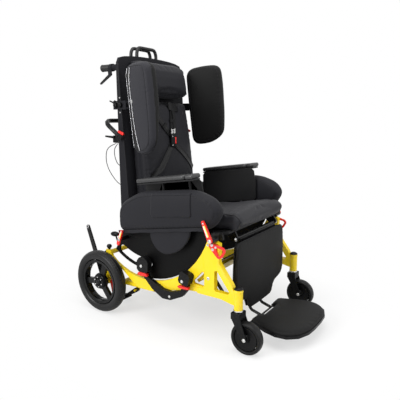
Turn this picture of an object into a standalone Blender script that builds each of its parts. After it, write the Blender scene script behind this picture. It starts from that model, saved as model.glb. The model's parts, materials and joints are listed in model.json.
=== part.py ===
"""Reclining wheelchair with a rocker tilt seat: the solid model of every piece.

Lengths are metres and +Z is up.  The user faces -Y, so the user's right is -X.
Outlines of the side frame and rockers are given as (y, z) with y = 0 at the rear axle.
"""
import bpy
import bmesh
from math import atan2, cos, degrees, pi, radians, sin, tan
from mathutils import Vector

# Overall placing
AXLE_TO_CENTRE = 0.4300
GAP = 0.0003
BACK_HALF = 0.2450
RUN = 0.0005
SIDES = ((-1, "right"), (1, "left"))

# Wheels
REAR_TYRE_R = 0.1590
REAR_TYRE_W = 0.0540
REAR_RIM_R = 0.1117
REAR_RIM_WALL = 0.0110
REAR_RIM_W = 0.0400
REAR_HUB_R = 0.0360
REAR_HUB_W = 0.0440
REAR_TRACK = BACK_HALF + 0.0840
SPOKE_ANGLES = (-8.0, 112.0, 232.0)
SPOKE_W = 0.0300
SPOKE_T = 0.0160
AXLE_R = 0.0080
WHEEL_STEPS = 24
CASTER_TYRE_R = 0.0710
CASTER_TYRE_W = 0.0390
CASTER_RIM_R = 0.0520
CASTER_PIN_R = 0.0040
CASTER_TRAIL = 0.0430
FORK_WALL = 0.0050
STEM_R = 0.0120

# Side frames
FRAME_X = BACK_HALF + 0.0455
TUBE_W = 0.0250
PLATE_X = BACK_HALF + 0.0470
PLATE_T = 0.0160
TILT_Y = -0.2750
TILT_Z = 0.5950
CRADLE_R = 0.3800
CRADLE_REAR = -30.4
CRADLE_FRONT = 71.5
CASTER_Y = -0.7790
HEAD_TUBE_R = 0.0190
HEAD_TUBE_LOW = 0.1800
HEAD_TUBE_TOP = 0.2746
POST_X = BACK_HALF + 0.0270
POST_R = 0.0150
POST_Y = 0.0050
LOW_BAR_X = BACK_HALF + 0.0295
LOW_BAR_R = 0.0125

# Tilt rockers and their rollers
ROCKER_X = BACK_HALF + 0.0320
ROCKER_T = 0.0100
ROLLER_W = 0.0110
FRONT_ROLLER_R = 0.0300
FRONT_ROLLER_AT = 36.4
REAR_ROLLER_R = 0.0220
SLOT_R = 0.3040
SLOT_TRAVEL = 31.5
SLOT_START = 1.5
SHAFT_R = 0.0080
CARRIER_T = 0.0177
HOUSING_X = BACK_HALF + 0.0930

# Seat
SEAT_PITCH = 8.0
SEAT_Y = -0.7150
SEAT_Z = 0.5040
SEAT_HALF = BACK_HALF - 0.0160
SEAT_THICK = 0.0690
PAN_T = 0.0120
BOLSTER_IN = BACK_HALF + 0.0094
BOLSTER_OUT = BACK_HALF + 0.0850
ARM_POST_X = BACK_HALF + 0.0010
ARM_POST_R = 0.0065
ARM_POSTS = (0.1840, 0.3360)
ARM_PAD_TOP = 0.2570
ARM_PAD_T = 0.0220
ARM_PAD_IN = BACK_HALF - 0.0060
ARM_PAD_OUT = BACK_HALF + 0.0640
ARM_PAD_ENDS = (0.1230, 0.4500)

# Back
BACK_REAR = -0.0780
BACK_LOW = 0.4300
BACK_TOP = 1.2620
BACK_FRONT_LOW = -0.1400
BACK_FRONT_TOP = -0.0900
RECLINE_Y = -0.1100
RECLINE_Z = 0.4700
RECLINE_PIN_R = 0.0080
WING_X = BACK_HALF - 0.0100
WING_Y = -0.1570
WING_Z = 1.0080
WING_LEAN = 6.3
WING_SPLAY = 20.0
WING_LENGTH = 0.2150
WING_HEIGHT = 0.4400
WING_THICK = 0.0700
CLAMP_UP = 0.0270
GRIP_X = BACK_HALF - 0.0300
GRIP_Z = 1.2150
GRIP_R = 0.0150
PUSH_X = BACK_HALF + 0.0130
PUSH_Y = -0.1000
PUSH_Z = 0.8850
PUSH_R = 0.0110

# Leg rest and footplate
LEG_Y = -0.7060
LEG_Z = 0.4560
CALF_FRONT = LEG_Y - 0.0400
CALF_BACK = LEG_Y - 0.0160
CALF_TOP = 0.4510
CALF_LOW = 0.1120
BAR_X = 0.0530
BAR_R = 0.0070
FOLD_Y = -0.7680
FOLD_Z = 0.0655
FOLD_PIN_R = 0.0045
BOARD_LOW = 0.0590
BOARD_T = 0.0130

# Strut under the seat
STRUT_X = -0.2000
STRUT_BACK = (-0.1120, 0.4220)
STRUT_SEAT = (-0.3150, 0.3270)
STRUT_R = 0.0110
STRUT_ROD_R = 0.0060
STRUT_PIN_R = 0.0045
STRUT_EYE_R = 0.0105
STRUT_PLAY = 0.0031

# Turns that lay an outline across the chair, or across its front
ACROSS = (pi / 2, 0.0, pi / 2)
FACING = (pi / 2, 0.0, 0.0)
ALONG_X = (0.0, pi / 2, 0.0)
ALONG_Y = (-pi / 2, 0.0, 0.0)

for old in list(bpy.data.objects):
    bpy.data.objects.remove(old)

PARTS = bpy.data.collections.new("reclining_wheelchair")
TOOLS = bpy.data.collections.new("cutters")
bpy.context.scene.collection.children.link(PARTS)
bpy.context.scene.collection.children.link(TOOLS)
ORIGIN = {}
BENCH = {"frame": None}


# Helpers: materials, frames and blanks
def paint(name, colour, roughness, metallic=0.0):
    """Principled material with one colour."""
    made = bpy.data.materials.new(name)
    made.use_nodes = True
    made.diffuse_color = (*colour, 1.0)
    shader = made.node_tree.nodes["Principled BSDF"]
    shader.inputs["Base Color"].default_value = (*colour, 1.0)
    shader.inputs["Roughness"].default_value = roughness
    shader.inputs["Metallic"].default_value = metallic
    return made


def frame(name, at, parent=None, pitched=False, turn=(0.0, 0.0, 0.0), order="XYZ"):
    """Empty that carries pieces; pieces of a pitched frame use its own coordinates."""
    holder = bpy.data.objects.new(name, None)
    PARTS.objects.link(holder)
    holder.empty_display_size = 0.05
    holder.rotation_mode = order
    holder.rotation_euler = turn
    holder.parent = parent
    start = ORIGIN[parent.name] if parent else Vector((0.0, 0.0, 0.0))
    holder.location = Vector(at) - start
    ORIGIN[name] = Vector((0.0, 0.0, 0.0)) if pitched else Vector(at)
    return holder


def work_in(holder):
    """Pieces made after this call belong to the given frame."""
    BENCH["frame"] = holder


def put(name, mesh, at=(0.0, 0.0, 0.0), turn=(0.0, 0.0, 0.0)):
    """Blank in the tool collection, placed in the current frame."""
    blank = bpy.data.objects.new(name, mesh)
    TOOLS.objects.link(blank)
    blank.hide_render = True
    blank.display_type = "WIRE"
    blank.parent = BENCH["frame"]
    blank.location = Vector(at) - ORIGIN[blank.parent.name]
    blank.rotation_euler = turn
    return blank


def meshed(name, curve):
    """Closed mesh of a curve, its seams welded."""
    holder = bpy.data.objects.new(name, curve)
    bpy.context.scene.collection.objects.link(holder)
    bpy.context.view_layer.update()
    mesh = bpy.data.meshes.new_from_object(holder)
    bpy.data.objects.remove(holder)
    shape = bmesh.new()
    shape.from_mesh(mesh)
    bmesh.ops.remove_doubles(shape, verts=shape.verts, dist=0.00002)
    bmesh.ops.dissolve_degenerate(shape, edges=shape.edges, dist=0.00001)
    bmesh.ops.recalc_face_normals(shape, faces=shape.faces)
    shape.to_mesh(mesh)
    shape.free()
    mesh.materials.clear()
    return mesh


def plate(name, loops, thick, at=(0.0, 0.0, 0.0), turn=ACROSS):
    """Flat outline with holes, as thick as given about its own plane."""
    curve = bpy.data.curves.new(name, "CURVE")
    curve.dimensions = "2D"
    curve.fill_mode = "BOTH"
    curve.extrude = thick / 2
    for loop in loops:
        spline = curve.splines.new("POLY")
        spline.points.add(len(loop) - 1)
        for point, place in zip(spline.points, loop):
            point.co = (place[0], place[1], 0.0, 1.0)
        spline.use_cyclic_u = True
    return put(name, meshed(name, curve), at, turn)


def tube(name, points, radius, at=(0.0, 0.0, 0.0), detail=2):
    """Round bar along a line of points."""
    curve = bpy.data.curves.new(name, "CURVE")
    curve.dimensions = "3D"
    curve.bevel_depth = radius
    curve.bevel_resolution = detail
    curve.use_fill_caps = True
    spline = curve.splines.new("POLY")
    spline.points.add(len(points) - 1)
    for point, place in zip(spline.points, points):
        point.co = (*place, 1.0)
    return put(name, meshed(name, curve), at)


def rod(name, radius, start, end, segments=10, tip=None):
    """Cylinder or cone from one point to another."""
    start = Vector(start)
    way = Vector(end) - start
    mesh = bpy.data.meshes.new(name)
    shape = bmesh.new()
    bmesh.ops.create_cone(
        shape, cap_ends=True, segments=segments, depth=way.length,
        radius1=radius, radius2=radius if tip is None else tip,
    )
    shape.to_mesh(mesh)
    shape.free()
    turn = way.to_track_quat("Z", "Y").to_euler()
    return put(name, mesh, start + way / 2, turn)


def cross_rod(name, radius, side, inner, outer, place, segments=10):
    """Cylinder across the chair on one side, between two distances from the middle."""
    start = (side * inner, place[0], place[1])
    return rod(name, radius, start, (side * outer, place[0], place[1]), segments)


def block(name, low, high, edge=0.0):
    """Box between two corners, with small chamfers if asked."""
    low = Vector(low)
    high = Vector(high)
    mesh = bpy.data.meshes.new(name)
    shape = bmesh.new()
    bmesh.ops.create_cube(shape, size=1.0)
    bmesh.ops.scale(shape, vec=high - low, verts=shape.verts)
    if edge:
        bmesh.ops.bevel(shape, geom=shape.edges, offset=edge, segments=1, affect="EDGES")
    shape.to_mesh(mesh)
    shape.free()
    return put(name, mesh, (low + high) / 2)


def turned(name, profile, steps, closed, at=(0.0, 0.0, 0.0), turn=ALONG_X):
    """Profile of (radius, height) turned about the height axis."""
    mesh = bpy.data.meshes.new(name)
    shape = bmesh.new()
    points = [shape.verts.new((radius, 0.0, height)) for radius, height in profile]
    for first, second in zip(points, points[1:]):
        shape.edges.new((first, second))
    if closed:
        shape.edges.new((points[-1], points[0]))
    shape.to_mesh(mesh)
    shape.free()
    piece = put(name, mesh, at, turn)
    screw = piece.modifiers.new("turn", "SCREW")
    screw.steps = steps
    screw.render_steps = steps
    screw.use_merge_vertices = True
    screw.merge_threshold = 0.00001
    return piece


def loft(name, rings, levels=1, at=(0.0, 0.0, 0.0), turn=(0.0, 0.0, 0.0)):
    """Soft solid through rings of equal counts, smoothed by subdivision."""
    mesh = bpy.data.meshes.new(name)
    shape = bmesh.new()
    made = bmesh.ops.create_circle(shape, cap_ends=True, segments=len(rings[0]), radius=1.0)
    for point, place in zip(made["verts"], rings[0]):
        point.co = place
    shape.faces.ensure_lookup_table()
    face = shape.faces[0]
    column = made["verts"]
    for count, ring in enumerate(rings[1:]):
        last = face
        grown = bmesh.ops.extrude_face_region(shape, geom=[last])["geom"]
        face = [part for part in grown if isinstance(part, bmesh.types.BMFace)][0]
        if count:
            bmesh.ops.delete(shape, geom=[last], context="FACES_ONLY")
        mates = {point.co.to_tuple(7): point for point in face.verts}
        column = [mates[point.co.to_tuple(7)] for point in column]
        for point, place in zip(column, ring):
            point.co = place
    bmesh.ops.recalc_face_normals(shape, faces=shape.faces)
    shape.to_mesh(mesh)
    shape.free()
    piece = put(name, mesh, at, turn)
    if levels:
        smooth = piece.modifiers.new("soft", "SUBSURF")
        smooth.levels = levels
        smooth.render_levels = levels
    return piece


def join(piece, others, operation):
    """Live exact Boolean with each of the other blanks."""
    for other in others:
        step = piece.modifiers.new(other.name, "BOOLEAN")
        step.operation = operation
        step.object = other
        step.solver = "EXACT"


def node(name, piece, finish, adds=(), cuts=(), smooth=True):
    """Turn a blank into the named piece of the chair."""
    TOOLS.objects.unlink(piece)
    PARTS.objects.link(piece)
    piece.name = name
    piece.hide_render = False
    piece.display_type = "TEXTURED"
    join(piece, adds, "UNION")
    join(piece, cuts, "DIFFERENCE")
    piece.data.materials.append(finish)
    if smooth:
        for face in piece.data.polygons:
            face.use_smooth = len(face.vertices) == 4
    return piece


# Helpers: outlines
def on_arc(radius, angle):
    """Point about the tilt axis, at an angle forward of straight down."""
    return (TILT_Y - radius * sin(radians(angle)), TILT_Z - radius * cos(radians(angle)))


def tilt_arc(radius, first, last, count):
    """Points on an arc about the tilt axis."""
    return [on_arc(radius, first + (last - first) * k / (count - 1)) for k in range(count)]


def circle(centre, radius, count=10):
    """Closed round loop."""
    turns = [2 * pi * k / count for k in range(count)]
    return [(centre[0] + radius * cos(a), centre[1] + radius * sin(a)) for a in turns]


def rounded(corners, radius, steps=1):
    """Closed outline whose corners are small curves."""
    points = []
    count = len(corners)
    for index, corner in enumerate(corners):
        here = Vector(corner)
        before = Vector(corners[index - 1]) - here
        after = Vector(corners[(index + 1) % count]) - here
        reach = radius / tan(before.angle(after) / 2)
        reach = min(reach, 0.45 * before.length, 0.45 * after.length)
        start = here + before.normalized() * reach
        end = here + after.normalized() * reach
        for step in range(steps + 1):
            t = step / steps
            points.append(tuple(start * (1 - t) ** 2 + here * 2 * t * (1 - t) + end * t * t))
    return points


def link(first, first_r, second, second_r, steps=4):
    """Outline of two round ends and the straight sides between them."""
    way = Vector(second) - Vector(first)
    lean = atan2(way.y, way.x)
    points = []
    for k in range(steps + 1):
        a = lean + pi / 2 + pi * k / steps
        points.append((first[0] + first_r * cos(a), first[1] + first_r * sin(a)))
    for k in range(steps + 1):
        a = lean - pi / 2 + pi * k / steps
        points.append((second[0] + second_r * cos(a), second[1] + second_r * sin(a)))
    return points


def inset(outline, amount):
    """Outline moved inward by the given amount; corners follow both edges."""
    area = sum(a[0] * b[1] - b[0] * a[1] for a, b in zip(outline, outline[1:] + outline[:1]))
    sign = 1 if area > 0 else -1
    points = []
    for index, corner in enumerate(outline):
        here = Vector(corner)
        before = (here - Vector(outline[index - 1])).normalized()
        after = (Vector(outline[(index + 1) % len(outline)]) - here).normalized()
        normal = Vector((-before.y - after.y, before.x + after.x)) * sign
        reach = amount / max(0.5, normal.length / 2)
        points.append(tuple(here + normal.normalized() * reach))
    return points


def pad(name, outline, half, rim, crown=0.0, levels=1, at=(0.0, 0.0, 0.0), turn=ACROSS):
    """Cushion with a full rounded edge; rim is how far the edge curve reaches in."""
    steps = ((rim * 2.2, half + crown), (rim * 0.6, half * 0.90), (0.0, 0.0))
    back = [[(*p, -height) for p in inset(outline, reach)] for reach, height in steps]
    front = [[(*p, height) for p in inset(outline, reach)] for reach, height in steps[-2::-1]]
    return loft(name, back + front, levels, at, turn)


# Materials
YELLOW = paint("yellow_frame", (0.86, 0.70, 0.03), 0.32)
BLACK = paint("black_metal", (0.020, 0.020, 0.022), 0.38)
PLASTIC = paint("black_plastic", (0.022, 0.022, 0.024), 0.50)
CLOTH = paint("black_upholstery", (0.018, 0.018, 0.022), 0.80)
SHELL = paint("back_shell_dark", (0.030, 0.030, 0.034), 0.60)
TYRE = paint("black_tyre", (0.025, 0.025, 0.025), 0.85)
RIM = paint("black_rim", (0.018, 0.018, 0.020), 0.42)
RED = paint("red_paint", (0.62, 0.03, 0.02), 0.40)
STEEL = paint("steel", (0.55, 0.55, 0.56), 0.30, 1.0)
BOARD = paint("rocker_board", (0.012, 0.012, 0.013), 0.62)
WEB = paint("black_webbing", (0.012, 0.012, 0.014), 0.75)

# Frames: the base, the tilting seat, the reclining back and the leg rest
BASE = frame("chair_origin", (0.0, 0.0, 0.0))
BASE.location = (0.0, AXLE_TO_CENTRE, 0.0)
TILT = frame("tilt_axis", (0.0, TILT_Y, TILT_Z), BASE)
SEAT = frame("seat_plane", (0.0, SEAT_Y, SEAT_Z), TILT, True, (-radians(SEAT_PITCH), 0.0, 0.0))
BACK = frame("recline_axis", (0.0, RECLINE_Y, RECLINE_Z), TILT)
LEG = frame("leg_axis", (0.0, LEG_Y, LEG_Z), TILT)
FOLD = frame("fold_axis", (0.0, FOLD_Y, FOLD_Z), LEG)
FRONT_SHAFT = on_arc(CRADLE_R - 0.0045 + RUN + FRONT_ROLLER_R, FRONT_ROLLER_AT)
REAR_SHAFT = on_arc(SLOT_R, 0.0)
ROCKER_RIM = CRADLE_R - 0.0045
RAIL_LOW = 0.2175
RAIL_TOP = 0.2455
AXLE = (0.0, REAR_TYRE_R)
FRAME_IN = FRAME_X - TUBE_W / 2
FRAME_OUT = FRAME_X + TUBE_W / 2
PLATE_IN = PLATE_X - PLATE_T / 2
PLATE_OUT = PLATE_X + PLATE_T / 2
FRONT_LEVER = on_arc(CRADLE_R + 0.0312, 72.8866)
BEAM_Y = -0.1100
BEAM_Z = 0.1560
CROSS_TUBE = (-0.0300, 0.3050)
CROSS_TUBE_R = 0.0125
PARK = (0.0620, 0.1600)


# Base: side frames
def side_frame(side, tag):
    """Cradle plate, tower, rail, diagonal, head tube and rear post of one side."""
    work_in(BASE)
    cradle = tilt_arc(CRADLE_R, CRADLE_REAR, CRADLE_FRONT, 16)
    under = [on_arc(CRADLE_R + grow, angle) for grow, angle in
             ((0.0273, 70.9), (0.0642, 58.06), (0.1390, 44.69), (0.0706, 33.09), (0.0469, 18.43),
              (0.0527, 3.31), (0.0521, -5.71), (0.0419, -10.38), (0.0234, -16.41), (0.0107, -22.10),
              (0.0109, -27.42))]
    end = on_arc(CRADLE_R, CRADLE_REAR)
    rear = [(end[0] + 0.0527, end[1] - 0.0212), (POST_Y + 0.0070, 0.2460), (POST_Y + 0.0070, 0.2720),
            (POST_Y - 0.0150, 0.2840), (POST_Y - 0.0190, 0.3220), (POST_Y - 0.0510, 0.3220),
            (end[0] + 0.0307, end[1] + 0.0248)]
    window = rounded([on_arc(CRADLE_R + 0.0491, 52.19), on_arc(CRADLE_R + 0.1037, 44.50),
                      on_arc(CRADLE_R + 0.0532, 38.72)], 0.006)
    bore = circle(FRONT_SHAFT, SHAFT_R + RUN, 12)
    body = plate("cradle", [cradle + under + rear, window, bore], PLATE_T, (side * PLATE_X, 0.0, 0.0))
    inner = tilt_arc(CRADLE_R + 0.0015, 63.6, CRADLE_FRONT, 4)
    corner = on_arc(CRADLE_R + 0.0577, 71.48)
    tower = inner + [corner, (-0.689, 0.373), (-0.752, 0.290), (-0.761, 0.270), (-0.775, 0.266),
                     (-0.775, 0.204), (-0.755, 0.206), (-0.700, RAIL_LOW), (-0.578, RAIL_LOW),
                     (-0.578, 0.242), (-0.610, RAIL_TOP), (-0.6155, 0.252)]
    opening = rounded([(-0.6675, 0.355), (-0.6675, RAIL_TOP), (-0.750, RAIL_TOP)], 0.007)
    front = plate("tower", [tower, opening], TUBE_W, (side * FRAME_X, 0.0, 0.0))
    x = side * FRAME_X
    adds = [
        front,
        rod("head", HEAD_TUBE_R, (x, CASTER_Y, HEAD_TUBE_LOW), (x, CASTER_Y, HEAD_TUBE_TOP), 16),
        rod("post", POST_R, (side * POST_X, POST_Y, 0.130), (side * POST_X, POST_Y, 0.297)),
        rod("low_bar", LOW_BAR_R, (side * LOW_BAR_X, -0.315, 0.165), (side * LOW_BAR_X, POST_Y, 0.158), 12),
        cross_rod("stub", AXLE_R, side, POST_X, REAR_TRACK + 0.018, AXLE, 12),
        cross_rod("boss", 0.0130, side, FRAME_X, BOLSTER_OUT + 0.0012, FRONT_LEVER),
        cross_rod("pin", 0.0050, side, FRAME_X, BOLSTER_OUT + 0.0125, FRONT_LEVER, 12),
    ]
    if side < 0:
        arm = link((POST_Y, 0.160), 0.014, PARK, 0.011)
        adds.append(plate("lug", [arm], 0.008, (side * POST_X, 0.0, 0.0)))
        adds.append(cross_rod("park_pin", 0.0050, side, POST_X - 0.0020, POST_X - 0.0160, PARK, 12))
    cuts = [rod("bore", STEM_R + RUN, (x, CASTER_Y, 0.170), (x, CASTER_Y, 0.290), 12)]
    node("side_frame_" + tag, body, YELLOW, adds, cuts, False)


for side, tag in SIDES:
    side_frame(side, tag)


# Base: cross members
def cross_members():
    """Curved pan, rear tube and axle beam between the side frames."""
    work_in(BASE)
    reach = FRAME_IN - GAP
    pan = tilt_arc(0.4330, 40.0, 52.0, 5) + tilt_arc(0.4480, 52.0, 40.0, 5)
    body = plate("pan", [pan], 2 * reach - 0.020)
    adds = []
    for side, tag in SIDES:
        foot = rounded([(-0.655, 0.272), (-0.655, 0.322), (-0.596, 0.322), (-0.596, 0.272)], 0.010)
        adds.append(plate("foot", [foot], 0.0140, (side * (reach - 0.0070), 0.0, 0.0)))
    node("cross_beam", body, YELLOW, adds, (), False)
    reach = PLATE_IN - GAP
    tube_start = (-reach, *CROSS_TUBE)
    body = rod("rear_cross_tube", CROSS_TUBE_R, tube_start, (reach, *CROSS_TUBE), 12)
    node("rear_cross_tube", body, YELLOW)
    reach = LOW_BAR_X - LOW_BAR_R - GAP
    body = rod("axle_beam", 0.0160, (-reach, BEAM_Y, BEAM_Z), (reach, BEAM_Y, BEAM_Z), 12)
    hanger = link((BEAM_Y, BEAM_Z), 0.013, (-0.105, 0.085), 0.011)
    adds = [plate("hanger", [hanger], 0.008, (-0.170, 0.0, 0.0)),
            rod("pedal_pin", 0.0055, (-0.170, -0.105, 0.085), (-0.200, -0.105, 0.085), 12)]
    node("axle_beam", body, YELLOW, adds)


cross_members()


# Base: roller carriers and their shafts
def carrier(side, tag):
    """Curved band with the two roller housings of one side."""
    work_in(BASE)
    inner = PLATE_OUT + GAP
    band = rounded([(-0.255, 0.290), (-0.252, 0.262), (-0.333, 0.184), (-0.392, 0.153),
                    (-0.439, 0.155), (-0.508, 0.188), (-0.535, 0.222), (-0.545, 0.258),
                    (-0.505, 0.262), (-0.503, 0.216), (-0.440, 0.196), (-0.394, 0.198),
                    (-0.304, 0.240), (-0.298, 0.290)], 0.012)
    body = plate("band", [band], CARRIER_T, (side * (inner + CARRIER_T / 2), 0.0, 0.0))
    high = rounded([(-0.318, 0.262), (-0.2515, 0.262), (-0.2505, 0.312), (-0.268, 0.334),
                    (-0.295, 0.337), (-0.3195, 0.318)], 0.012)
    front = rounded([(-0.4965, 0.262), (-0.5490, 0.246), (-0.5640, 0.300), (-0.5120, 0.318)],
                    0.010)
    start = inner + 0.001
    rear_out = HOUSING_X - 0.0055
    adds = [
        plate("rear_box", [high], rear_out - start, (side * (start + rear_out) / 2, 0.0, 0.0)),
        plate("front_box", [front], HOUSING_X - start, (side * (start + HOUSING_X) / 2, 0.0, 0.0)),
    ]
    cuts = [
        cross_rod("rear_bore", SHAFT_R + RUN, side, 0.29, 0.3255, REAR_SHAFT, 12),
        cross_rod("front_bore", SHAFT_R + RUN, side, 0.29, 0.3255, FRONT_SHAFT, 12),
    ]
    node("roller_carrier_" + tag, body, PLASTIC, adds, cuts, False)
    ring = rounded([(-0.637, 0.449), (-0.668, 0.458), (-0.716, 0.446), (-0.727, 0.432),
                    (-0.711, 0.404), (-0.692, 0.392), (-0.660, 0.424)], 0.008)
    hole = rounded([(-0.677, 0.444), (-0.690, 0.409), (-0.699, 0.406), (-0.716, 0.431),
                    (-0.709, 0.438)], 0.004)
    at = (side * (FRAME_OUT + GAP + 0.004), 0.0, 0.0)
    node("tie_down_ring_" + tag, plate("ring", [ring, hole], 0.008, at), RED, (), (), False)


for side, tag in SIDES:
    carrier(side, tag)


def roller_shaft(name, place, roller_r, inner_segments):
    """Cross shaft with a roller under or through each rocker."""
    work_in(frame(name + "_axis", (0.0, *place), BASE))
    body = rod(name, SHAFT_R, (-0.325, *place), (0.325, *place), 12)
    half = ROLLER_W / 2
    adds = [cross_rod("roller", roller_r, side, ROCKER_X + 0.0007 - half,
                      ROCKER_X + 0.0007 + half, place, inner_segments) for side, tag in SIDES]
    node(name, body, STEEL, adds)


roller_shaft("front_roller_shaft", FRONT_SHAFT, FRONT_ROLLER_R, 14)
roller_shaft("rear_roller_shaft", REAR_SHAFT, REAR_ROLLER_R, 12)


# Base: levers and pedal
def eye_lever(name, pivot, tip, hub_r, tip_r, bore, thick, x, finish, eye=None):
    """Flat lever with a bored hub and a rounded tip."""
    loops = [link(pivot, hub_r, tip, tip_r), circle(pivot, bore)]
    if eye:
        loops.append(circle(tip, eye, 12))
    node(name, plate(name, loops, thick, (x, 0.0, 0.0)), finish, (), (), False)


for side, tag in SIDES:
    work_in(frame("lock_front_axis_" + tag, (0.0, *FRONT_LEVER), BASE))
    tip = (FRONT_LEVER[0] + 0.0350, FRONT_LEVER[1] + 0.0760)
    eye_lever("lock_lever_front_" + tag, FRONT_LEVER, tip, 0.0110, 0.0070,
              0.0050 + RUN, 0.0090, side * (BOLSTER_OUT + 0.0062), RED)

work_in(frame("parking_axis", (0.0, *PARK), BASE))
eye_lever("parking_lever", PARK, (0.1537, 0.4080), 0.0150, 0.0110, 0.0050 + RUN, 0.0090,
          0.0089 - POST_X, BLACK, 0.0050)

PEDAL = (-0.1050, 0.0850)
work_in(frame("pedal_axis", (0.0, *PEDAL), BASE))
pedal_arm = link(PEDAL, 0.0120, (-0.0250, 0.0330), 0.0070)
node("brake_pedal", plate("arm", [pedal_arm, circle(PEDAL, 0.0060, 12)], 0.0120, (-0.1810, 0.0, 0.0)),
     BLACK, [block("tread", (-0.2150, -0.0400, 0.0220), (-0.1490, 0.0060, 0.0320), 0.0030)])


# Wheels
def wheel_profile(inner, outer, width):
    """Rounded tyre section, from the outer crown down one wall and up the other."""
    half = width / 2
    wall = outer - inner
    upper = [(inner, half * 0.74), (inner + wall * 0.50, half), (outer - wall * 0.10, half * 0.68),
             (outer, 0.0)]
    lower = [(radius, -height) for radius, height in upper[-2::-1]]
    return upper + lower


def sector(first, last, inner, outer, shift, steps=4):
    """Opening between two spokes whose flanks run parallel to the spokes."""
    points = []
    for radius, ends in ((outer, (first, last)), (inner, (last, first))):
        cut = degrees(shift / radius)
        start = ends[0] + (cut if ends[0] == first else -cut)
        stop = ends[1] + (cut if ends[1] == first else -cut)
        for k in range(steps):
            a = radians(start + (stop - start) * k / (steps - 1))
            points.append((radius * cos(a), radius * sin(a)))
    return points


def rear_wheel(side, tag):
    """Three-spoke wheel on the stub axle, and its tyre."""
    hub = (side * REAR_TRACK, *AXLE)
    work_in(frame("rear_wheel_axis_" + tag, hub, BASE))
    loops = [circle((0.0, 0.0), REAR_RIM_R - REAR_RIM_WALL * 0.3, 16)]
    for first, last in zip(SPOKE_ANGLES, SPOKE_ANGLES[1:] + (SPOKE_ANGLES[0] + 360.0,)):
        loops.append(sector(first, last, REAR_HUB_R + 0.006, REAR_RIM_R - REAR_RIM_WALL - 0.001,
                            SPOKE_W / 2))
    body = plate("web", loops, SPOKE_T, hub)
    half = REAR_RIM_W / 2
    deep = REAR_RIM_R - REAR_RIM_WALL
    ring = [(REAR_RIM_R, half), (REAR_RIM_R, -half), (deep, -half * 0.9), (deep, half * 0.9)]
    out = REAR_HUB_W / 2
    core = [(0.0, out), (REAR_HUB_R * 0.6, out), (REAR_HUB_R, out * 0.55), (REAR_HUB_R, -out * 0.55),
            (REAR_HUB_R * 0.6, -out), (0.0, -out)]
    adds = [turned("rim", ring, WHEEL_STEPS, True, hub), turned("hub", core, 10, False, hub)]
    cuts = [cross_rod("bore", AXLE_R + RUN, side, REAR_TRACK - 0.030, REAR_TRACK + 0.0185, AXLE, 12)]
    node("rear_wheel_" + tag, body, RIM, adds, cuts, False)
    profile = wheel_profile(REAR_RIM_R + GAP, REAR_TYRE_R, REAR_TYRE_W)
    node("rear_tyre_" + tag, turned("tyre", profile, WHEEL_STEPS, True, hub), TYRE)


def caster(side, tag):
    """Swivel fork with its stem, wheel and tyre."""
    x = side * FRAME_X
    work_in(frame("caster_axis_" + tag, (x, CASTER_Y, 0.0), BASE))
    hub = (CASTER_Y - CASTER_TRAIL, CASTER_TYRE_R)
    leg_in = CASTER_TYRE_W / 2 + 0.003
    leg_out = leg_in + FORK_WALL
    crown = HEAD_TUBE_LOW - GAP
    body = block("crown", (x - leg_out, CASTER_Y - 0.022, 0.1500),
                 (x + leg_out, CASTER_Y + 0.021, crown - 0.002))
    leg = link((CASTER_Y - 0.001, 0.1560), 0.0195, hub, 0.0120, 3)
    top = HEAD_TUBE_TOP + GAP
    dome = [(0.0, 0.0065), (0.008, 0.0060), (0.0150, 0.0038), (HEAD_TUBE_R, 0.0), (0.0, 0.0)]
    adds = [plate("leg", [leg], FORK_WALL, (x + way * (leg_in + leg_out) / 2, 0.0, 0.0))
            for way in (-1, 1)]
    adds.append(rod("seat", 0.0185, (x, CASTER_Y, 0.172), (x, CASTER_Y, crown), 10))
    adds.append(rod("stem", STEM_R, (x, CASTER_Y, 0.172), (x, CASTER_Y, top + 0.001), 10))
    adds.append(turned("cap", dome, 12, False, (x, CASTER_Y, top), (0.0, 0.0, 0.0)))
    adds.append(rod("pin", CASTER_PIN_R, (x - leg_out - 0.001, *hub), (x + leg_out + 0.001, *hub), 8))
    node("caster_fork_" + tag, body, PLASTIC, adds, (), False)
    centre = (x, *hub)
    work_in(frame("caster_wheel_axis_" + tag, centre, bpy.data.objects["caster_axis_" + tag]))
    bore = CASTER_PIN_R + RUN
    half = CASTER_TYRE_W / 2 - 0.002
    upper = [(bore, half), (0.014, half), (0.018, half * 0.45), (CASTER_RIM_R, half * 0.80)]
    core = upper + [(radius, -height) for radius, height in upper[::-1]]
    node("caster_wheel_" + tag, turned("core", core, 16, True, centre), PLASTIC)
    profile = wheel_profile(CASTER_RIM_R + GAP, CASTER_TYRE_R, CASTER_TYRE_W)
    node("caster_tyre_" + tag, turned("tyre", profile, 16, True, centre), TYRE)


for side, tag in SIDES:
    rear_wheel(side, tag)
    caster(side, tag)


# Seat: rockers
REAR_LEVER = (-0.1500, 0.4020)


def slot_end(angle, half, way):
    """Round end of the roller slot: way 1 goes from its outer wall to its inner one."""
    middle = Vector(on_arc(SLOT_R, angle))
    out = (Vector(on_arc(SLOT_R + half, angle)) - middle) * way
    on = Vector((-out.y, out.x))
    return [tuple(middle + out * cos(pi * k / 4) + on * sin(pi * k / 4)) for k in range(1, 4)]


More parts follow.
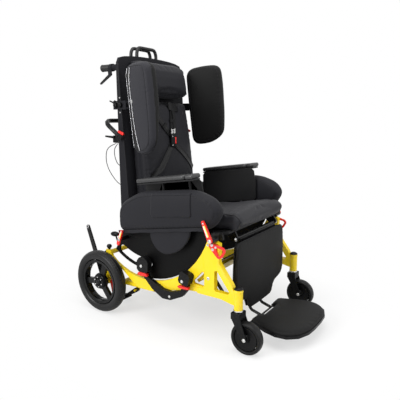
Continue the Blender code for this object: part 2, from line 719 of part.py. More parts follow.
def rocker(side, tag):
    """Coated board whose rim rolls on the front rollers, with the slotted tail at the rear."""
    work_in(TILT)
    tail_r = SLOT_R + 0.0340
    inner_r = SLOT_R - 0.0340
    half = REAR_ROLLER_R + RUN
    outline = tilt_arc(ROCKER_RIM, 70.0, -4.0, 15) + tilt_arc(tail_r, -5.5, -38.0, 8)
    outline += tilt_arc(inner_r + 0.006, -40.0, -38.0, 2)
    outline += [on_arc(inner_r - 0.0170, -41.31), on_arc(inner_r - 0.0407, -42.53),
                (-0.280, 0.4500), (-0.600, 0.4950), (-0.625, 0.490)]
    slot = tilt_arc(SLOT_R + half, SLOT_START, -SLOT_TRAVEL, 8)
    slot += slot_end(-SLOT_TRAVEL, half, 1)
    slot += tilt_arc(SLOT_R - half, -SLOT_TRAVEL, SLOT_START, 8)
    slot += slot_end(SLOT_START, half, -1)
    at = (side * ROCKER_X, 0.0, 0.0)
    body = plate("rocker", [outline, slot], ROCKER_T, at)
    lever_in = BOLSTER_OUT + 0.0030
    adds = [cross_rod("boss", 0.0100, side, ROCKER_X, lever_in, REAR_LEVER, 12),
            cross_rod("pin", 0.0045, side, ROCKER_X, lever_in + 0.0130, REAR_LEVER, 10)]
    node("rocker_" + tag, body, BOARD, adds, (), False)
    work_in(frame("lock_rear_axis_" + tag, (0.0, *REAR_LEVER), TILT))
    loops = [link((-0.1410, 0.3800), 0.0080, (-0.1670, 0.4440), 0.0065), circle(REAR_LEVER, 0.0050, 12)]
    node("lock_lever_rear_" + tag, plate("lever", loops, 0.0090, (side * (lever_in + 0.0050), 0.0, 0.0)),
         RED, (), (), False)


for side, tag in SIDES:
    rocker(side, tag)


# Seat: frame under the cushion
def seat_frame():
    """Pan, side bars, hinge lugs and post guides that join the two rockers."""
    work_in(SEAT)
    rail_out = ROCKER_X - ROCKER_T / 2 - GAP
    width = rail_out - 0.005
    outline = rounded([(-width, 0.012), (width, 0.012), (width, 0.530), (-width, 0.530)], 0.020)
    slots = [rounded([(x - 0.045, 0.110), (x + 0.045, 0.110), (x + 0.045, 0.430), (x - 0.045, 0.430)],
                     0.020) for x in (-0.110, 0.110)]
    body = plate("pan", [outline] + slots, PAN_T, (0.0, 0.0, -PAN_T / 2), (0.0, 0.0, 0.0))
    adds = []
    cuts = []
    for side, tag in SIDES:
        low = (min(side * (rail_out - 0.0130), side * rail_out), 0.030, -0.034)
        high = (max(side * (rail_out - 0.0130), side * rail_out), 0.575, -0.003)
        adds.append(block("side_bar", low, high))
        for place in ARM_POSTS:
            x = side * ARM_POST_X
            adds.append(block("guide", (x - 0.0094, place - 0.0110, -0.036),
                              (x + 0.0094, place + 0.0110, 0.0610)))
            cuts.append(rod("guide_bore", ARM_POST_R + RUN, (x, place, -0.050), (x, place, 0.070), 8))
    work_in(TILT)
    for side, tag in SIDES:
        lug = rounded([(-0.300, 0.436), (-0.300, 0.450), (-0.170, 0.452), (-0.124, 0.4870),
                       (-0.095, 0.4870), (-0.092, 0.456), (-0.170, 0.412), (-0.250, 0.414)], 0.010)
        hole = circle((RECLINE_Y, RECLINE_Z), RECLINE_PIN_R + RUN, 12)
        adds.append(plate("recline_lug", [lug, hole], 0.0090, (side * (BACK_HALF + 0.006), 0.0, 0.0)))
        ear = rounded([(-0.650, 0.492), (-0.700, 0.498), (LEG_Y - 0.016, LEG_Z + 0.006),
                       (LEG_Y, LEG_Z - 0.016), (LEG_Y + 0.016, LEG_Z - 0.011), (-0.660, 0.470)], 0.008)
        adds.append(plate("leg_lug", [ear], 0.0080, (side * 0.1930, 0.0, 0.0)))
    adds.append(rod("leg_pin", 0.0060, (-0.2030, LEG_Y, LEG_Z), (0.2030, LEG_Y, LEG_Z), 12))
    ear = [(-0.350, 0.4480), (-0.280, 0.4390), (STRUT_SEAT[0] + 0.012, STRUT_SEAT[1] - 0.010),
           (STRUT_SEAT[0] - 0.012, STRUT_SEAT[1] - 0.010)]
    adds.append(plate("strut_lug", [rounded(ear, 0.008)], 0.0080, (STRUT_X + 0.0180, 0.0, 0.0)))
    adds.append(rod("strut_pin", STRUT_PIN_R, (STRUT_X + 0.0180, *STRUT_SEAT),
                    (STRUT_X - 0.0140, *STRUT_SEAT)))
    node("seat_frame", body, BLACK, adds, cuts, False)


seat_frame()


# Seat: cushion, bolsters and arms
def seat_cushion():
    """Wedge cushion with a rolled front, a crown and drawn-in sides."""
    work_in(SEAT)
    rings = []
    stations = (-0.012, -0.028, -0.016, 0.030, 0.130, 0.330, 0.490, 0.532, 0.545)
    heights = (0.45, 0.72, 0.96, 1.0, 1.0, 0.96, 0.97, 0.90, 0.55)
    for place, height in zip(stations, heights):
        ring = []
        top = SEAT_THICK * height
        low = GAP + (0.012 if place < -0.005 or place > 0.54 else 0.0)
        draw = 0.010 * sin(pi * min(1.0, max(0.0, place / 0.5)))
        half = SEAT_HALF - 0.004 - draw
        for x in (-1.0, -0.97, -0.72, -0.25, 0.25, 0.72, 0.97, 1.0):
            edge = 0.62 if abs(x) > 0.99 else (0.90 if abs(x) > 0.9 else 1.0)
            ring.append((half * x, place, low + (top - low) * edge + 0.004 * (1 - x * x)))
        for x in (0.98, 0.5, -0.5, -0.98):
            ring.append((half * x, place, low))
        rings.append(ring)
    node("seat_cushion", loft("seat_cushion", rings), CLOTH)


seat_cushion()


def bolster_outline():
    """Side cushion outline in the seat plane: rounded front, raised shoulder, falling rear."""
    return rounded([(0.592, 0.007), (0.572, 0.146), (0.430, 0.199), (0.115, 0.190),
                    (0.026, 0.146), (-0.006, 0.090), (0.050, 0.020)], 0.050)


def bolster(side, tag):
    """Padded side cushion with the half-moon flap under it."""
    work_in(SEAT)
    half = (BOLSTER_OUT - BOLSTER_IN) / 2
    centre = (side * (BOLSTER_OUT + BOLSTER_IN) / 2, 0.0, 0.0)
    body = pad("bolster", bolster_outline(), half, 0.022, 0.0, 1, centre)
    work_in(TILT)
    flap = rounded([(-0.325, 0.490), (-0.329, 0.425), (-0.365, 0.382), (-0.415, 0.366),
                    (-0.490, 0.392), (-0.545, 0.452), (-0.560, 0.512)], 0.025)
    add = plate("flap", [flap], 0.014, (side * (BOLSTER_OUT - 0.018), 0.0, 0.0))
    node("side_bolster_" + tag, body, CLOTH, [add])


def arm(side, tag):
    """Arm support: clothing guard on two posts, with the base of the arm pad."""
    work_in(frame("arm_slide_" + tag, (0.0, 0.0, 0.0), SEAT, True))
    low = ARM_PAD_TOP - ARM_PAD_T
    x = side * ARM_POST_X
    guard = rounded([(0.130, 0.062), (0.120, 0.150), (0.123, low - 0.003), (0.444, low - 0.003),
                     (0.452, 0.150), (0.430, 0.062)], 0.015)
    body = plate("guard", [guard], 0.0060, (x - side * 0.0045, 0.0, 0.0))
    adds = [rod("post", ARM_POST_R, (x, place, -0.062), (x, place, low - 0.008), 8)
            for place in ARM_POSTS]
    inner = side * (ARM_PAD_IN + 0.003)
    outer = side * (ARM_PAD_OUT - 0.006)
    adds.append(block("shelf", (min(inner, outer), ARM_PAD_ENDS[0] + 0.006, low - 0.0070),
                      (max(inner, outer), ARM_PAD_ENDS[1] - 0.006, low - GAP)))
    node("arm_frame_" + tag, body, BLACK, adds, (), False)
    half = (ARM_PAD_OUT - ARM_PAD_IN) / 2
    length = ARM_PAD_ENDS[1] - ARM_PAD_ENDS[0]
    top = ARM_PAD_T
    rings = []
    for place, narrow, shrink in ((0.0, 0.70, 0.5), (0.012, 0.92, 0.9), (0.05, 1.0, 1.0),
                                  (length - 0.05, 1.0, 1.0),
                                  (length - 0.012, 0.92, 0.9), (length, 0.70, 0.5)):
        wide = half * narrow
        rise = top * (0.5 + 0.5 * shrink)
        ring = [(-wide, low, 0.25), (-wide * 0.99, low, 0.70), (-wide * 0.86, low, 0.92),
                (-wide * 0.55, low, 1.0), (wide * 0.55, low, 1.0), (wide * 0.86, low, 0.92),
                (wide * 0.99, low, 0.70), (wide, low, 0.25), (wide * 0.90, low, 0.0),
                (-wide * 0.90, low, 0.0)]
        rings.append([(side * (ARM_PAD_OUT + ARM_PAD_IN) / 2 + px, ARM_PAD_ENDS[0] + place, pz + rise * k)
                      for px, pz, k in ring])
    node("arm_pad_" + tag, loft("arm_pad", rings, 0), PLASTIC)


for side, tag in SIDES:
    bolster(side, tag)
    arm(side, tag)


# Back: shell with grips, bows, clamps and pins
def back_shell():
    """Wedge panel of the back with everything that is fixed to it."""
    work_in(BACK)
    side_view = [(BACK_REAR, BACK_LOW), (BACK_REAR, BACK_TOP + 0.013), (BACK_FRONT_TOP, BACK_TOP + 0.013),
                 (BACK_FRONT_LOW, BACK_LOW + 0.020), (BACK_FRONT_LOW + 0.006, BACK_LOW)]
    body = plate("slab", [side_view], 2 * BACK_HALF)
    high = BACK_TOP + 0.013
    crown = [(-BACK_HALF * cos(pi * k / 10), BACK_TOP - 0.030 + 0.043 * sin(pi * k / 10) ** 0.5)
             for k in range(11)]
    sky = crown + [(BACK_HALF + 0.02, BACK_TOP - 0.030), (BACK_HALF + 0.02, high + 0.02),
                   (-BACK_HALF - 0.02, high + 0.02), (-BACK_HALF - 0.02, BACK_TOP - 0.030)]
    join(body, [plate("sky", [sky], 0.20, (0.0, -0.10, 0.0), FACING)], "DIFFERENCE")
    adds = [block("bow_base", (-0.090, BACK_REAR - 0.006, 1.2230), (0.090, -0.0040, 1.2500))]
    for place in (-0.056, -0.016):
        half = [(0.075, place, 1.236), (0.074, place, 1.288), (0.066, place, 1.312), (0.052, place, 1.323)]
        bow = [(-x, y, z) for x, y, z in half] + half[::-1]
        adds.append(tube("bow", bow, 0.0065, detail=1))
    for side, tag in SIDES:
        x = side * GRIP_X
        adds.append(rod("grip", GRIP_R, (x, BACK_REAR - 0.010, GRIP_Z), (x, 0.0440, GRIP_Z), 12))
        adds.append(rod("collar", GRIP_R + 0.0035, (x, -0.0300, GRIP_Z), (x, -0.0120, GRIP_Z), 12))
        lug = rounded([(-0.028, 1.206), (-0.002, 1.206), (-0.004, 1.176), (-0.020, 1.176)], 0.006)
        adds.append(plate("lever_lug", [lug], 0.0060, (x + side * 0.0080, 0.0, 0.0)))
        adds.append(cross_rod("lever_pin", 0.0030, side, GRIP_X + 0.0080, GRIP_X - 0.0040, GRIP_LEVER, 8))
        adds.append(cross_rod("recline_pin", RECLINE_PIN_R, side, BACK_HALF - 0.006, BACK_HALF + 0.0115,
                              (RECLINE_Y, RECLINE_Z)))
        adds.append(cross_rod("push_pin", 0.0060, side, BACK_HALF - 0.006, PUSH_X + 0.0090,
                              (PUSH_Y, PUSH_Z)))
    low = BACK_LOW + 0.020
    room = STRUT_EYE_R + STRUT_PLAY + 0.0005
    notch = block("notch", (STRUT_X - 0.0090, STRUT_BACK[0] - room, BACK_LOW - 0.010),
                  (STRUT_X + 0.0090, STRUT_BACK[0] + room, STRUT_BACK[1] + room))
    lever = [(-0.134, low), (-0.090, low), (STRUT_BACK[0] + 0.010, STRUT_BACK[1] - 0.009),
             (STRUT_BACK[0] - 0.010, STRUT_BACK[1] - 0.009)]
    join(body, [notch], "DIFFERENCE")
    adds.append(plate("strut_lever", [rounded(lever, 0.007)], 0.0080, (STRUT_X + 0.0180, 0.0, 0.0)))
    adds.append(rod("strut_pin", STRUT_PIN_R, (STRUT_X + 0.0180, *STRUT_BACK),
                    (STRUT_X - 0.0085, *STRUT_BACK)))
    adds.append(block("brake_box", (0.009 - BACK_HALF, BACK_REAR - 0.005, 0.8560),
                      (0.031 - BACK_HALF, -0.0300, 0.8900)))
    adds.append(rod("brake_pin", 0.0030, (0.0150 - BACK_HALF, *BRAKE_LEVER),
                    (0.0010 - BACK_HALF, *BRAKE_LEVER), 8))
    for side, tag in SIDES:
        axis = wing_axis(CLAMP_UP)
        bar_in = side * (BACK_HALF - 0.004)
        bar_out = side * (BACK_HALF + 0.0100)
        z = axis.z
        adds.append(block("clamp", (min(bar_in, bar_out), axis.y + 0.012, z - 0.0200),
                          (max(bar_in, bar_out), -0.0600, z + 0.0200)))
        for way in (-1, 1):
            finger = link((side * (BACK_HALF + 0.005), axis.y + 0.018), 0.0045,
                          (side * WING_X, axis.y), 0.0085, 3)
            adds.append(plate("finger", [finger], 0.0070, (0.0, 0.0, z + way * 0.0145), (0.0, 0.0, 0.0)))
        low = wing_axis(CLAMP_UP - 0.0140)
        top = wing_axis(CLAMP_UP + 0.0140)
        adds.append(rod("clamp_pin", 0.0045, (side * low.x, *low.yz), (side * top.x, *top.yz), 10))
    node("back_shell", body, SHELL, adds, (), False)


GRIP_LEVER = (-0.0120, 1.1850)
BRAKE_LEVER = (-0.0380, 0.8820)


def wing_axis(up):
    """Point on the swing axis of a wing, a given height over its middle."""
    lean = radians(WING_LEAN)
    return Vector((WING_X, WING_Y + up * sin(lean), WING_Z + up * cos(lean)))


back_shell()


def back_front(x, z):
    """Front face of the back cushion: crowned across, rolling off at the ends."""
    share = (z - 0.525) / 0.540
    edge = -0.2200 + 0.0640 * share ** 1.7
    return edge - 0.0300 * (1 - min(1.0, abs(x) / 0.196) ** 2.2) * (0.75 + 0.25 * sin(pi * share))


def slab_front(z):
    """Front face of the back panel at a height."""
    share = (z - BACK_LOW - 0.020) / (BACK_TOP + 0.013 - BACK_LOW - 0.020)
    return BACK_FRONT_LOW + (BACK_FRONT_TOP - BACK_FRONT_LOW) * share


def back_cushion():
    """Back cushion lofted upward, thinner at the ends."""
    work_in(BACK)
    rings = []
    for z, fill in ((0.528, 0.45), (0.540, 0.80), (0.600, 1.0), (0.780, 1.0), (0.970, 1.0),
                    (1.035, 0.90), (1.062, 0.50)):
        seat = slab_front(z) - GAP
        wide = 0.1960 * (0.96 + 0.04 * fill)
        ring = [(wide * k, seat) for k in (0.97, 0.3, -0.3, -0.97)]
        for k in (-1.0, -0.93, -0.62, -0.22, 0.22, 0.62, 0.93, 1.0):
            depth = 0.55 if abs(k) > 0.99 else 1.0
            ring.append((wide * k, seat + (back_front(0.196 * k, z) - seat) * fill * depth))
        rings.append([(x, y, z) for x, y in ring])
    node("back_cushion", loft("back_cushion", rings), CLOTH)


def head_cushion():
    """Head rest pad between the wings."""
    work_in(BACK)
    rings = []
    for z, fill in ((1.076, 0.40), (1.086, 0.85), (1.120, 1.0), (1.170, 0.92), (1.215, 0.72),
                    (1.232, 0.35)):
        seat = slab_front(z) - GAP
        wide = 0.1760 * (0.95 + 0.05 * fill)
        ring = [(wide * k, seat) for k in (0.96, 0.3, -0.3, -0.96)]
        for k in (-1.0, -0.92, -0.55, 0.0, 0.55, 0.92, 1.0):
            depth = 0.5 if abs(k) > 0.99 else 1.0
            bulge = 0.105 * fill * depth * (1 - 0.16 * abs(k) ** 2.5)
            ring.append((wide * k, seat - bulge))
        rings.append([(x, y, z) for x, y in ring])
    node("head_cushion", loft("head_cushion", rings), CLOTH)


back_cushion()
head_cushion()


# Back: swing-out wings
def wing(side, tag):
    """Padded lateral support that swings on its clamp, with the tongue inside it."""
    turn = radians(-90.0 + side * WING_SPLAY)
    lean = radians(-WING_LEAN)
    centre = (side * WING_X, WING_Y, WING_Z)
    axis = frame("wing_axis_" + tag, centre, BACK, True, (lean, 0.0, turn), "ZYX")
    work_in(axis)
    root = WING_THICK / 2
    reach = WING_LENGTH - root
    half = WING_HEIGHT / 2
    outline = rounded([(-root, -half), (reach, -half), (reach, half), (-root, half)], 0.045, 2)
    body = pad("wing", outline, root, 0.026, 0.0, 1, (0.0, 0.0, 0.0), (pi / 2, 0.0, 0.0))
    cuts = [block("slot", (-0.060, -0.060, CLAMP_UP - 0.0240), (0.030, 0.060, CLAMP_UP + 0.0240)),
            block("pocket", (0.025, -0.0034, CLAMP_UP - 0.0104), (0.1104, 0.0034, CLAMP_UP + 0.0104))]
    node("wing_cushion_" + tag, body, CLOTH, (), cuts)
    body = block("tongue", (0.007, -0.0030, CLAMP_UP - 0.0080), (0.1100, 0.0030, CLAMP_UP + 0.0080))
    adds = [rod("eye", 0.0090, (0.0, 0.0, CLAMP_UP - 0.0088), (0.0, 0.0, CLAMP_UP + 0.0088), 12)]
    cuts = [rod("eye_bore", 0.0055, (0.0, 0.0, CLAMP_UP - 0.020), (0.0, 0.0, CLAMP_UP + 0.020))]
    node("wing_plate_" + tag, body, BLACK, adds, cuts, False)


for side, tag in SIDES:
    wing(side, tag)


# Back: push bar, levers and cables
def push_bar():
    """Bent bar that turns on the two pins of the back."""
    work_in(frame("push_axis", (0.0, PUSH_Y, PUSH_Z), BACK))
    end = (0.0080, 0.9620)
    bend = 0.045
    way = Vector((end[0] - PUSH_Y, end[1] - PUSH_Z)).normalized()
    corner = (end[0] - bend * way.x, end[1] - bend * way.y)
    path = [(-PUSH_X, PUSH_Y + 0.008 * way.x, PUSH_Z + 0.008 * way.y)]
    for k in range(5):
        a = pi / 2 * k / 4
        path.append((-PUSH_X + bend * (1 - cos(a)), corner[0] + bend * sin(a) * way.x,
                     corner[1] + bend * sin(a) * way.y))
    path += [(-x, y, z) for x, y, z in path[::-1]]
    body = tube("bar", path, PUSH_R, detail=2)
    adds = [cross_rod("hub", 0.0170, side, BACK_HALF + 0.0010, PUSH_X + 0.0085, (PUSH_Y, PUSH_Z), 12)
            for side, tag in SIDES]
    cuts = [cross_rod("bore", 0.0060 + RUN, side, 0.20, 0.30, (PUSH_Y, PUSH_Z), 12)
            for side, tag in SIDES]
    node("push_bar", body, BLACK, adds, cuts, False)


push_bar()

for side, tag in SIDES:
    work_in(frame("grip_lever_axis_" + tag, (0.0, *GRIP_LEVER), BACK))
    eye_lever("grip_lever_" + tag, GRIP_LEVER, (0.0580, 1.1430), 0.0070, 0.0045, 0.0030 + RUN, 0.0070,
              side * (GRIP_X + 0.0012), BLACK)

work_in(frame("brake_lever_axis", (0.0, *BRAKE_LEVER), BACK))
eye_lever("brake_lever", BRAKE_LEVER, (0.0140, 0.8860), 0.0060, 0.0040, 0.0030 + RUN, 0.0070,
          0.0049 - BACK_HALF, BLACK)


def smooth_line(knots, count):
    """Evenly read points of a curve through the knots."""
    points = []
    spans = len(knots) - 1
    for k in range(count):
        t = spans * k / (count - 1)
        i = min(int(t), spans - 1)
        t -= i
        a, b, c, d = (Vector(knots[max(0, min(spans, i + n))]) for n in (-1, 0, 1, 2))
        points.append(tuple(0.5 * ((2 * b) + (c - a) * t + (2 * a - 5 * b + 4 * c - d) * t * t
                                   + (3 * b - a - 3 * c + d) * t * t * t)))
    return points


def cable(name, knots, radius, count):
    """Brake cable held at both ends."""
    work_in(BACK)
    knots = [(0.020 - BACK_HALF, *knot) for knot in knots]
    line = [knots[0]] + smooth_line(knots[1:-1], count) + [knots[-1]]
    node(name, tube(name, line, radius, detail=1), PLASTIC)


cable("cable_long", [(-0.0380, 0.8557), (-0.0380, 0.8500), (-0.0020, 0.8380), (0.0280, 0.8150),
                     (0.0360, 0.7700), (0.0250, 0.7280), (-0.0020, 0.6900), (-0.0380, 0.6570),
                     (-0.0700, 0.6430), (-0.0777, 0.6430)], 0.0018, 15)
cable("cable_short", [(-0.0500, 0.8557), (-0.0500, 0.8500), (-0.0280, 0.8250), (-0.0260, 0.7900),
                      (-0.0420, 0.7540), (-0.0700, 0.7380), (-0.0777, 0.7380)], 0.0018, 10)


# Back: harness and buckle
BUCKLE_X = -0.0120
BUCKLE_Z = 0.8620
BUCKLE_W = 0.0400
BUCKLE_H = 0.0720
WEB_T = 0.0024
WEB_SINK = 0.0032


def harness():
    """Webbing over the back cushion, from the collar to the sides, meeting at the buckle."""
    work_in(BACK)
    half = 0.0120

    def strap(first, second, wide):
        way = (Vector(second) - Vector(first)).normalized()
        across = Vector((-way.y, way.x)) * wide
        a, b = Vector(first), Vector(second)
        return [tuple(a + across), tuple(a - across), tuple(b - across), tuple(b + across)]

    centre = (BUCKLE_X, BUCKLE_Z)
    ends = ((0.030, 1.030), (-0.100, 0.985), (0.165, 0.722), (-0.165, 0.700))
    pieces = []
    for index, end in enumerate(ends):
        flat = plate("strap", [strap(centre, end, half)], 0.080, (0.0, -0.200, 0.0), FACING)
        pieces.append(flat)
    pieces.append(plate("collar", [rounded([(0.000, 1.018), (0.008, 1.050), (0.068, 1.038), (0.060, 1.006)],
                                           0.004)], 0.080, (0.0, -0.200, 0.0), FACING))
    rings = []
    for z in [0.660 + 0.050 * k for k in range(9)]:
        front = [(x, back_front(x, z) + WEB_SINK - WEB_T) for x in
                 [-0.190 + 0.0475 * k for k in range(9)]]
        rear = [(x, y + WEB_T) for x, y in front[::-1]]
        rings.append([(x, y, z) for x, y in front + rear])
    sheet = loft("harness", rings, 0)
    star = pieces[0]
    join(star, pieces[1:], "UNION")
    join(sheet, [star], "INTERSECT")
    node("harness", sheet, WEB, (), (), False)


harness()


def buckle():
    """Buckle over the meeting of the straps, with its sprung release button."""
    work_in(BACK)
    face = min(back_front(BUCKLE_X, BUCKLE_Z + k * BUCKLE_H / 2) for k in (-1, 0, 1))
    front = face + WEB_SINK - WEB_T + 0.0009
    low = (BUCKLE_X - BUCKLE_W / 2, front - 0.0140, BUCKLE_Z - BUCKLE_H / 2)
    high = (BUCKLE_X + BUCKLE_W / 2, front, BUCKLE_Z + BUCKLE_H / 2)
    x = BUCKLE_X + 0.0110
    slot = block("slot", (x - 0.0055, front - 0.030, BUCKLE_Z - 0.0175),
                 (x + 0.0055, front - 0.0070, BUCKLE_Z + 0.0175))
    node("buckle", block("buckle", low, high, 0.0030), PLASTIC, (), [slot], False)
    work_in(frame("button_axis", (x, front, BUCKLE_Z), BACK))
    button = block("button", (x - 0.0050, front - 0.0160, BUCKLE_Z - 0.0170),
                   (x + 0.0050, front - 0.0110, BUCKLE_Z + 0.0170), 0.0010)
    node("buckle_button", button, RED, (), (), False)


buckle()


# Strut that holds the recline angle
def strut():
    """Cylinder on the seat and rod on the back, on one line between their pins."""
    start = Vector((STRUT_X, *STRUT_SEAT))
    end = Vector((STRUT_X, *STRUT_BACK))
    way = (end - start).normalized()
    work_in(frame("strut_axis", start, TILT))
    half = 0.0130
    body = rod("strut_body", STRUT_R, start + way * 0.004, start + way * 0.125, 12)
    eye = [rod("eye", 0.0120, start - Vector((half, 0, 0)), start + Vector((half, 0, 0)), 12)]
    cuts = [rod("eye_bore", STRUT_PIN_R + RUN, start - Vector((0.03, 0, 0)),
                start + Vector((0.03, 0, 0)), 12),
            rod("bore", STRUT_ROD_R + RUN, start + way * 0.018, start + way * 0.140, 12)]
    node("strut_body", body, BLACK, eye, cuts)
    body = rod("strut_rod", STRUT_ROD_R, start + way * 0.050, end - way * 0.006, 12)
    eye = [rod("rod_eye", STRUT_EYE_R, end - Vector((0.0070, 0, 0)), end + Vector((0.0070, 0, 0)), 12)]
    cuts = [rod("rod_bore", STRUT_PIN_R + STRUT_PLAY, end - Vector((0.03, 0, 0)),
                end + Vector((0.03, 0, 0)), 12)]
    node("strut_rod", body, STEEL, eye, cuts)


strut()


# Leg rest
def calf_outline(grow):
    """Calf pad outline: wide above, shoulders drawn in below so the casters can turn."""
    half = [(0.212, CALF_TOP), (0.232, CALF_TOP - 0.020), (0.240, 0.330), (0.243, 0.236),
            (0.225, 0.190), (0.145, 0.172), (0.116, CALF_LOW)]
    loop = [(-x, z) for x, z in half] + half[::-1]
    return inset(loop[::-1], -grow) if grow else loop[::-1]


def leg_rest():
    """Hinged panel with two sleeves, its calf pad, and the sliding foot bars."""
    work_in(LEG)
    outline = inset(calf_outline(0.0), 0.010)
    back = CALF_BACK + GAP
    body = plate("panel", [outline], 0.0060, (0.0, back + 0.0030, 0.0), FACING)
    top = CALF_TOP - 0.012
    adds = [block("yoke", (-0.176, back + 0.001, top - 0.020), (0.176, LEG_Y, LEG_Z + 0.002)),
            rod("barrel", 0.0105, (-0.1800, LEG_Y, LEG_Z), (0.1800, LEG_Y, LEG_Z), 12)]
    cuts = [rod("barrel_bore", 0.0060 + RUN, (-0.30, LEG_Y, LEG_Z), (0.30, LEG_Y, LEG_Z), 12)]
    bar_y = back + 0.0160
    for side in (-1, 1):
        adds.append(block("sleeve", (side * BAR_X - 0.0110, back + 0.003, 0.125),
                          (side * BAR_X + 0.0110, bar_y + 0.0110, 0.400)))
        cuts.append(rod("sleeve_bore", BAR_R + RUN, (side * BAR_X, bar_y, 0.100),
                        (side * BAR_X, bar_y, 0.420), 12))
    node("legrest_frame", body, BLACK, adds, cuts, False)
    half = (CALF_BACK - CALF_FRONT) / 2
    node("calf_pad", pad("calf", calf_outline(0.0), half - 0.002, 0.010, 0.002, 1,
                         (0.0, CALF_BACK - half, 0.0), FACING), CLOTH)
    work_in(LEG)
    path = [(BAR_X, bar_y, 0.330), (BAR_X, bar_y, 0.104), (BAR_X, bar_y - 0.004, 0.090),
            (BAR_X, bar_y - 0.014, 0.080), (BAR_X, FOLD_Y + 0.006, FOLD_Z + 0.002), (BAR_X, FOLD_Y, FOLD_Z)]
    body = tube("bar", path, BAR_R, detail=1)
    adds = [tube("bar", [(-x, y, z) for x, y, z in path], BAR_R, detail=1),
            rod("fold_pin", FOLD_PIN_R, (-0.1050, FOLD_Y, FOLD_Z), (0.1050, FOLD_Y, FOLD_Z), 12),
            block("tie", (-BAR_X, bar_y - 0.0060, 0.0990), (BAR_X, bar_y + 0.0060, 0.1070))]
    node("foot_bars", body, BLACK, adds)


def foot_outline():
    """Shield-shaped footplate with a notch for the bars at its hinge."""
    half = [(0.152, -0.7610), (0.162, -0.8000), (0.186, -0.8500), (0.200, -0.9050), (0.193, -0.9550),
            (0.158, -0.9960), (0.100, -1.0190), (0.040, -1.0240)]
    rear = [(0.0720, -0.7850), (0.0720, -0.7610)]
    return rear + half + [(-x, y) for x, y in half[::-1]] + [(-x, y) for x, y in rear[::-1]]


def footplate():
    """Folding board and its pad."""
    work_in(FOLD)
    middle = BOARD_LOW + BOARD_T / 2
    flat = (0.0, 0.0, 0.0)
    body = plate("board", [foot_outline()], BOARD_T, (0.0, 0.0, middle), flat)
    bore = rod("fold_bore", FOLD_PIN_R + RUN, (-0.20, FOLD_Y, FOLD_Z), (0.20, FOLD_Y, FOLD_Z))
    node("foot_board", body, PLASTIC, (), [bore], False)
    outline = inset(foot_outline(), 0.004)
    half = 0.0045
    top = BOARD_LOW + BOARD_T + GAP
    node("foot_pad", pad("foot_pad", outline, half, 0.004, 0.0, 0, (0.0, 0.0, top + half), flat), CLOTH)


leg_rest()
footplate()
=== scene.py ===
"""Looks of a reclining wheelchair: fabric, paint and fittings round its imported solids.

The user faces -Y and the user's right is -X.  Lengths are metres.
"""
import json

import bmesh
import bpy
import numpy as np
from mathutils import Matrix, Vector

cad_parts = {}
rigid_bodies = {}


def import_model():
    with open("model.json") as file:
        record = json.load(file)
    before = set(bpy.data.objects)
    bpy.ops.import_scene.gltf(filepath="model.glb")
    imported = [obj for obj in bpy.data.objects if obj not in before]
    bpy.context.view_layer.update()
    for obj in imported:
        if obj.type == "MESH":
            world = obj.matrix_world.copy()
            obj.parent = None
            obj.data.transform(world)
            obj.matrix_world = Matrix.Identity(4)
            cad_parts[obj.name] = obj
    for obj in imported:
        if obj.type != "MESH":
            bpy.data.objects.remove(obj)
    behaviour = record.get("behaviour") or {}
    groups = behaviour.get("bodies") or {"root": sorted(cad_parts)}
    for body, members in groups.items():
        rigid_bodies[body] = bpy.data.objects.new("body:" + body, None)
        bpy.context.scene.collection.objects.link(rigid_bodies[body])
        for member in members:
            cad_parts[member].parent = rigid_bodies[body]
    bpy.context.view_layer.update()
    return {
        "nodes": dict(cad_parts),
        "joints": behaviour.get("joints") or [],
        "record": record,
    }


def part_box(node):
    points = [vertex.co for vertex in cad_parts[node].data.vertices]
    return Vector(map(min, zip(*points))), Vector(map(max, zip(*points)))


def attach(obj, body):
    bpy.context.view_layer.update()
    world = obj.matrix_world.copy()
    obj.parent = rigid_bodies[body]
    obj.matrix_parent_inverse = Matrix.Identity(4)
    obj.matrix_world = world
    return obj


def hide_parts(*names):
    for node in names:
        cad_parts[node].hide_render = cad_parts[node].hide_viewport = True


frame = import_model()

bl_info = {
    "name": "Reclining wheelchair looks",
    "version": (1, 0, 0),
    "blender": (4, 5, 0),
    "location": "View3D > Sidebar > Wheelchair",
    "description": "Upholstery, paint and fittings of a reclining wheelchair round its solids",
    "category": "Object",
}

NODES = frame["nodes"]
BODY_OF = {node: body for body, nodes in frame["record"]["behaviour"]["bodies"].items()
           for node in nodes}
JOINTS = {joint["name"]: joint for joint in frame["joints"]}
SIDES = ((-1, "right"), (1, "left"))
AXLE_Y = float(JOINTS["wheel_spin_right"]["pos_m"][1])
AXLE_Z = float(JOINTS["wheel_spin_right"]["pos_m"][2])
SEAT_PITCH = np.radians(8.0)
SEAT_ORIGIN = np.array([0.0, AXLE_Y - 0.715, 0.504])
BACK_LEAN = 6.3                        # degrees
WING_POST = (0.235, -0.157, 1.008)     # side, distance behind the axle, height
WING_SPLAY = 20.0                      # degrees
SEAT_HALF = 0.2215
SIDE_INNER, SIDE_OUTER = 0.2544, 0.330  # faces of a side cushion
STEM_X, STEM_Y = 0.2905, -0.7790       # caster stem and head tube
HEAD_R = 0.0190
CABLE_X = -0.2250                      # plane of the brake box and its cables
STITCH = 0.0045
CLOTH_STIFFNESS = 12.0
CLOTH_PRESSURE = 4.0
STUFFING_FRAMES = 20
FINISH = {}


# Places
def at_axle(points):
    """Points given as x, distance behind the rear axle, height, in the part's own frame."""
    return np.asarray(points, float) + np.array([0.0, AXLE_Y, 0.0])


def on_seat(points):
    """Points of the pitched seat plane: turned 8 degrees about X and moved to the seat's front."""
    p = np.asarray(points, float)
    c, s = np.cos(SEAT_PITCH), np.sin(SEAT_PITCH)
    turned = np.stack([p[..., 0], p[..., 1] * c + p[..., 2] * s, p[..., 2] * c - p[..., 1] * s], -1)
    return turned + SEAT_ORIGIN


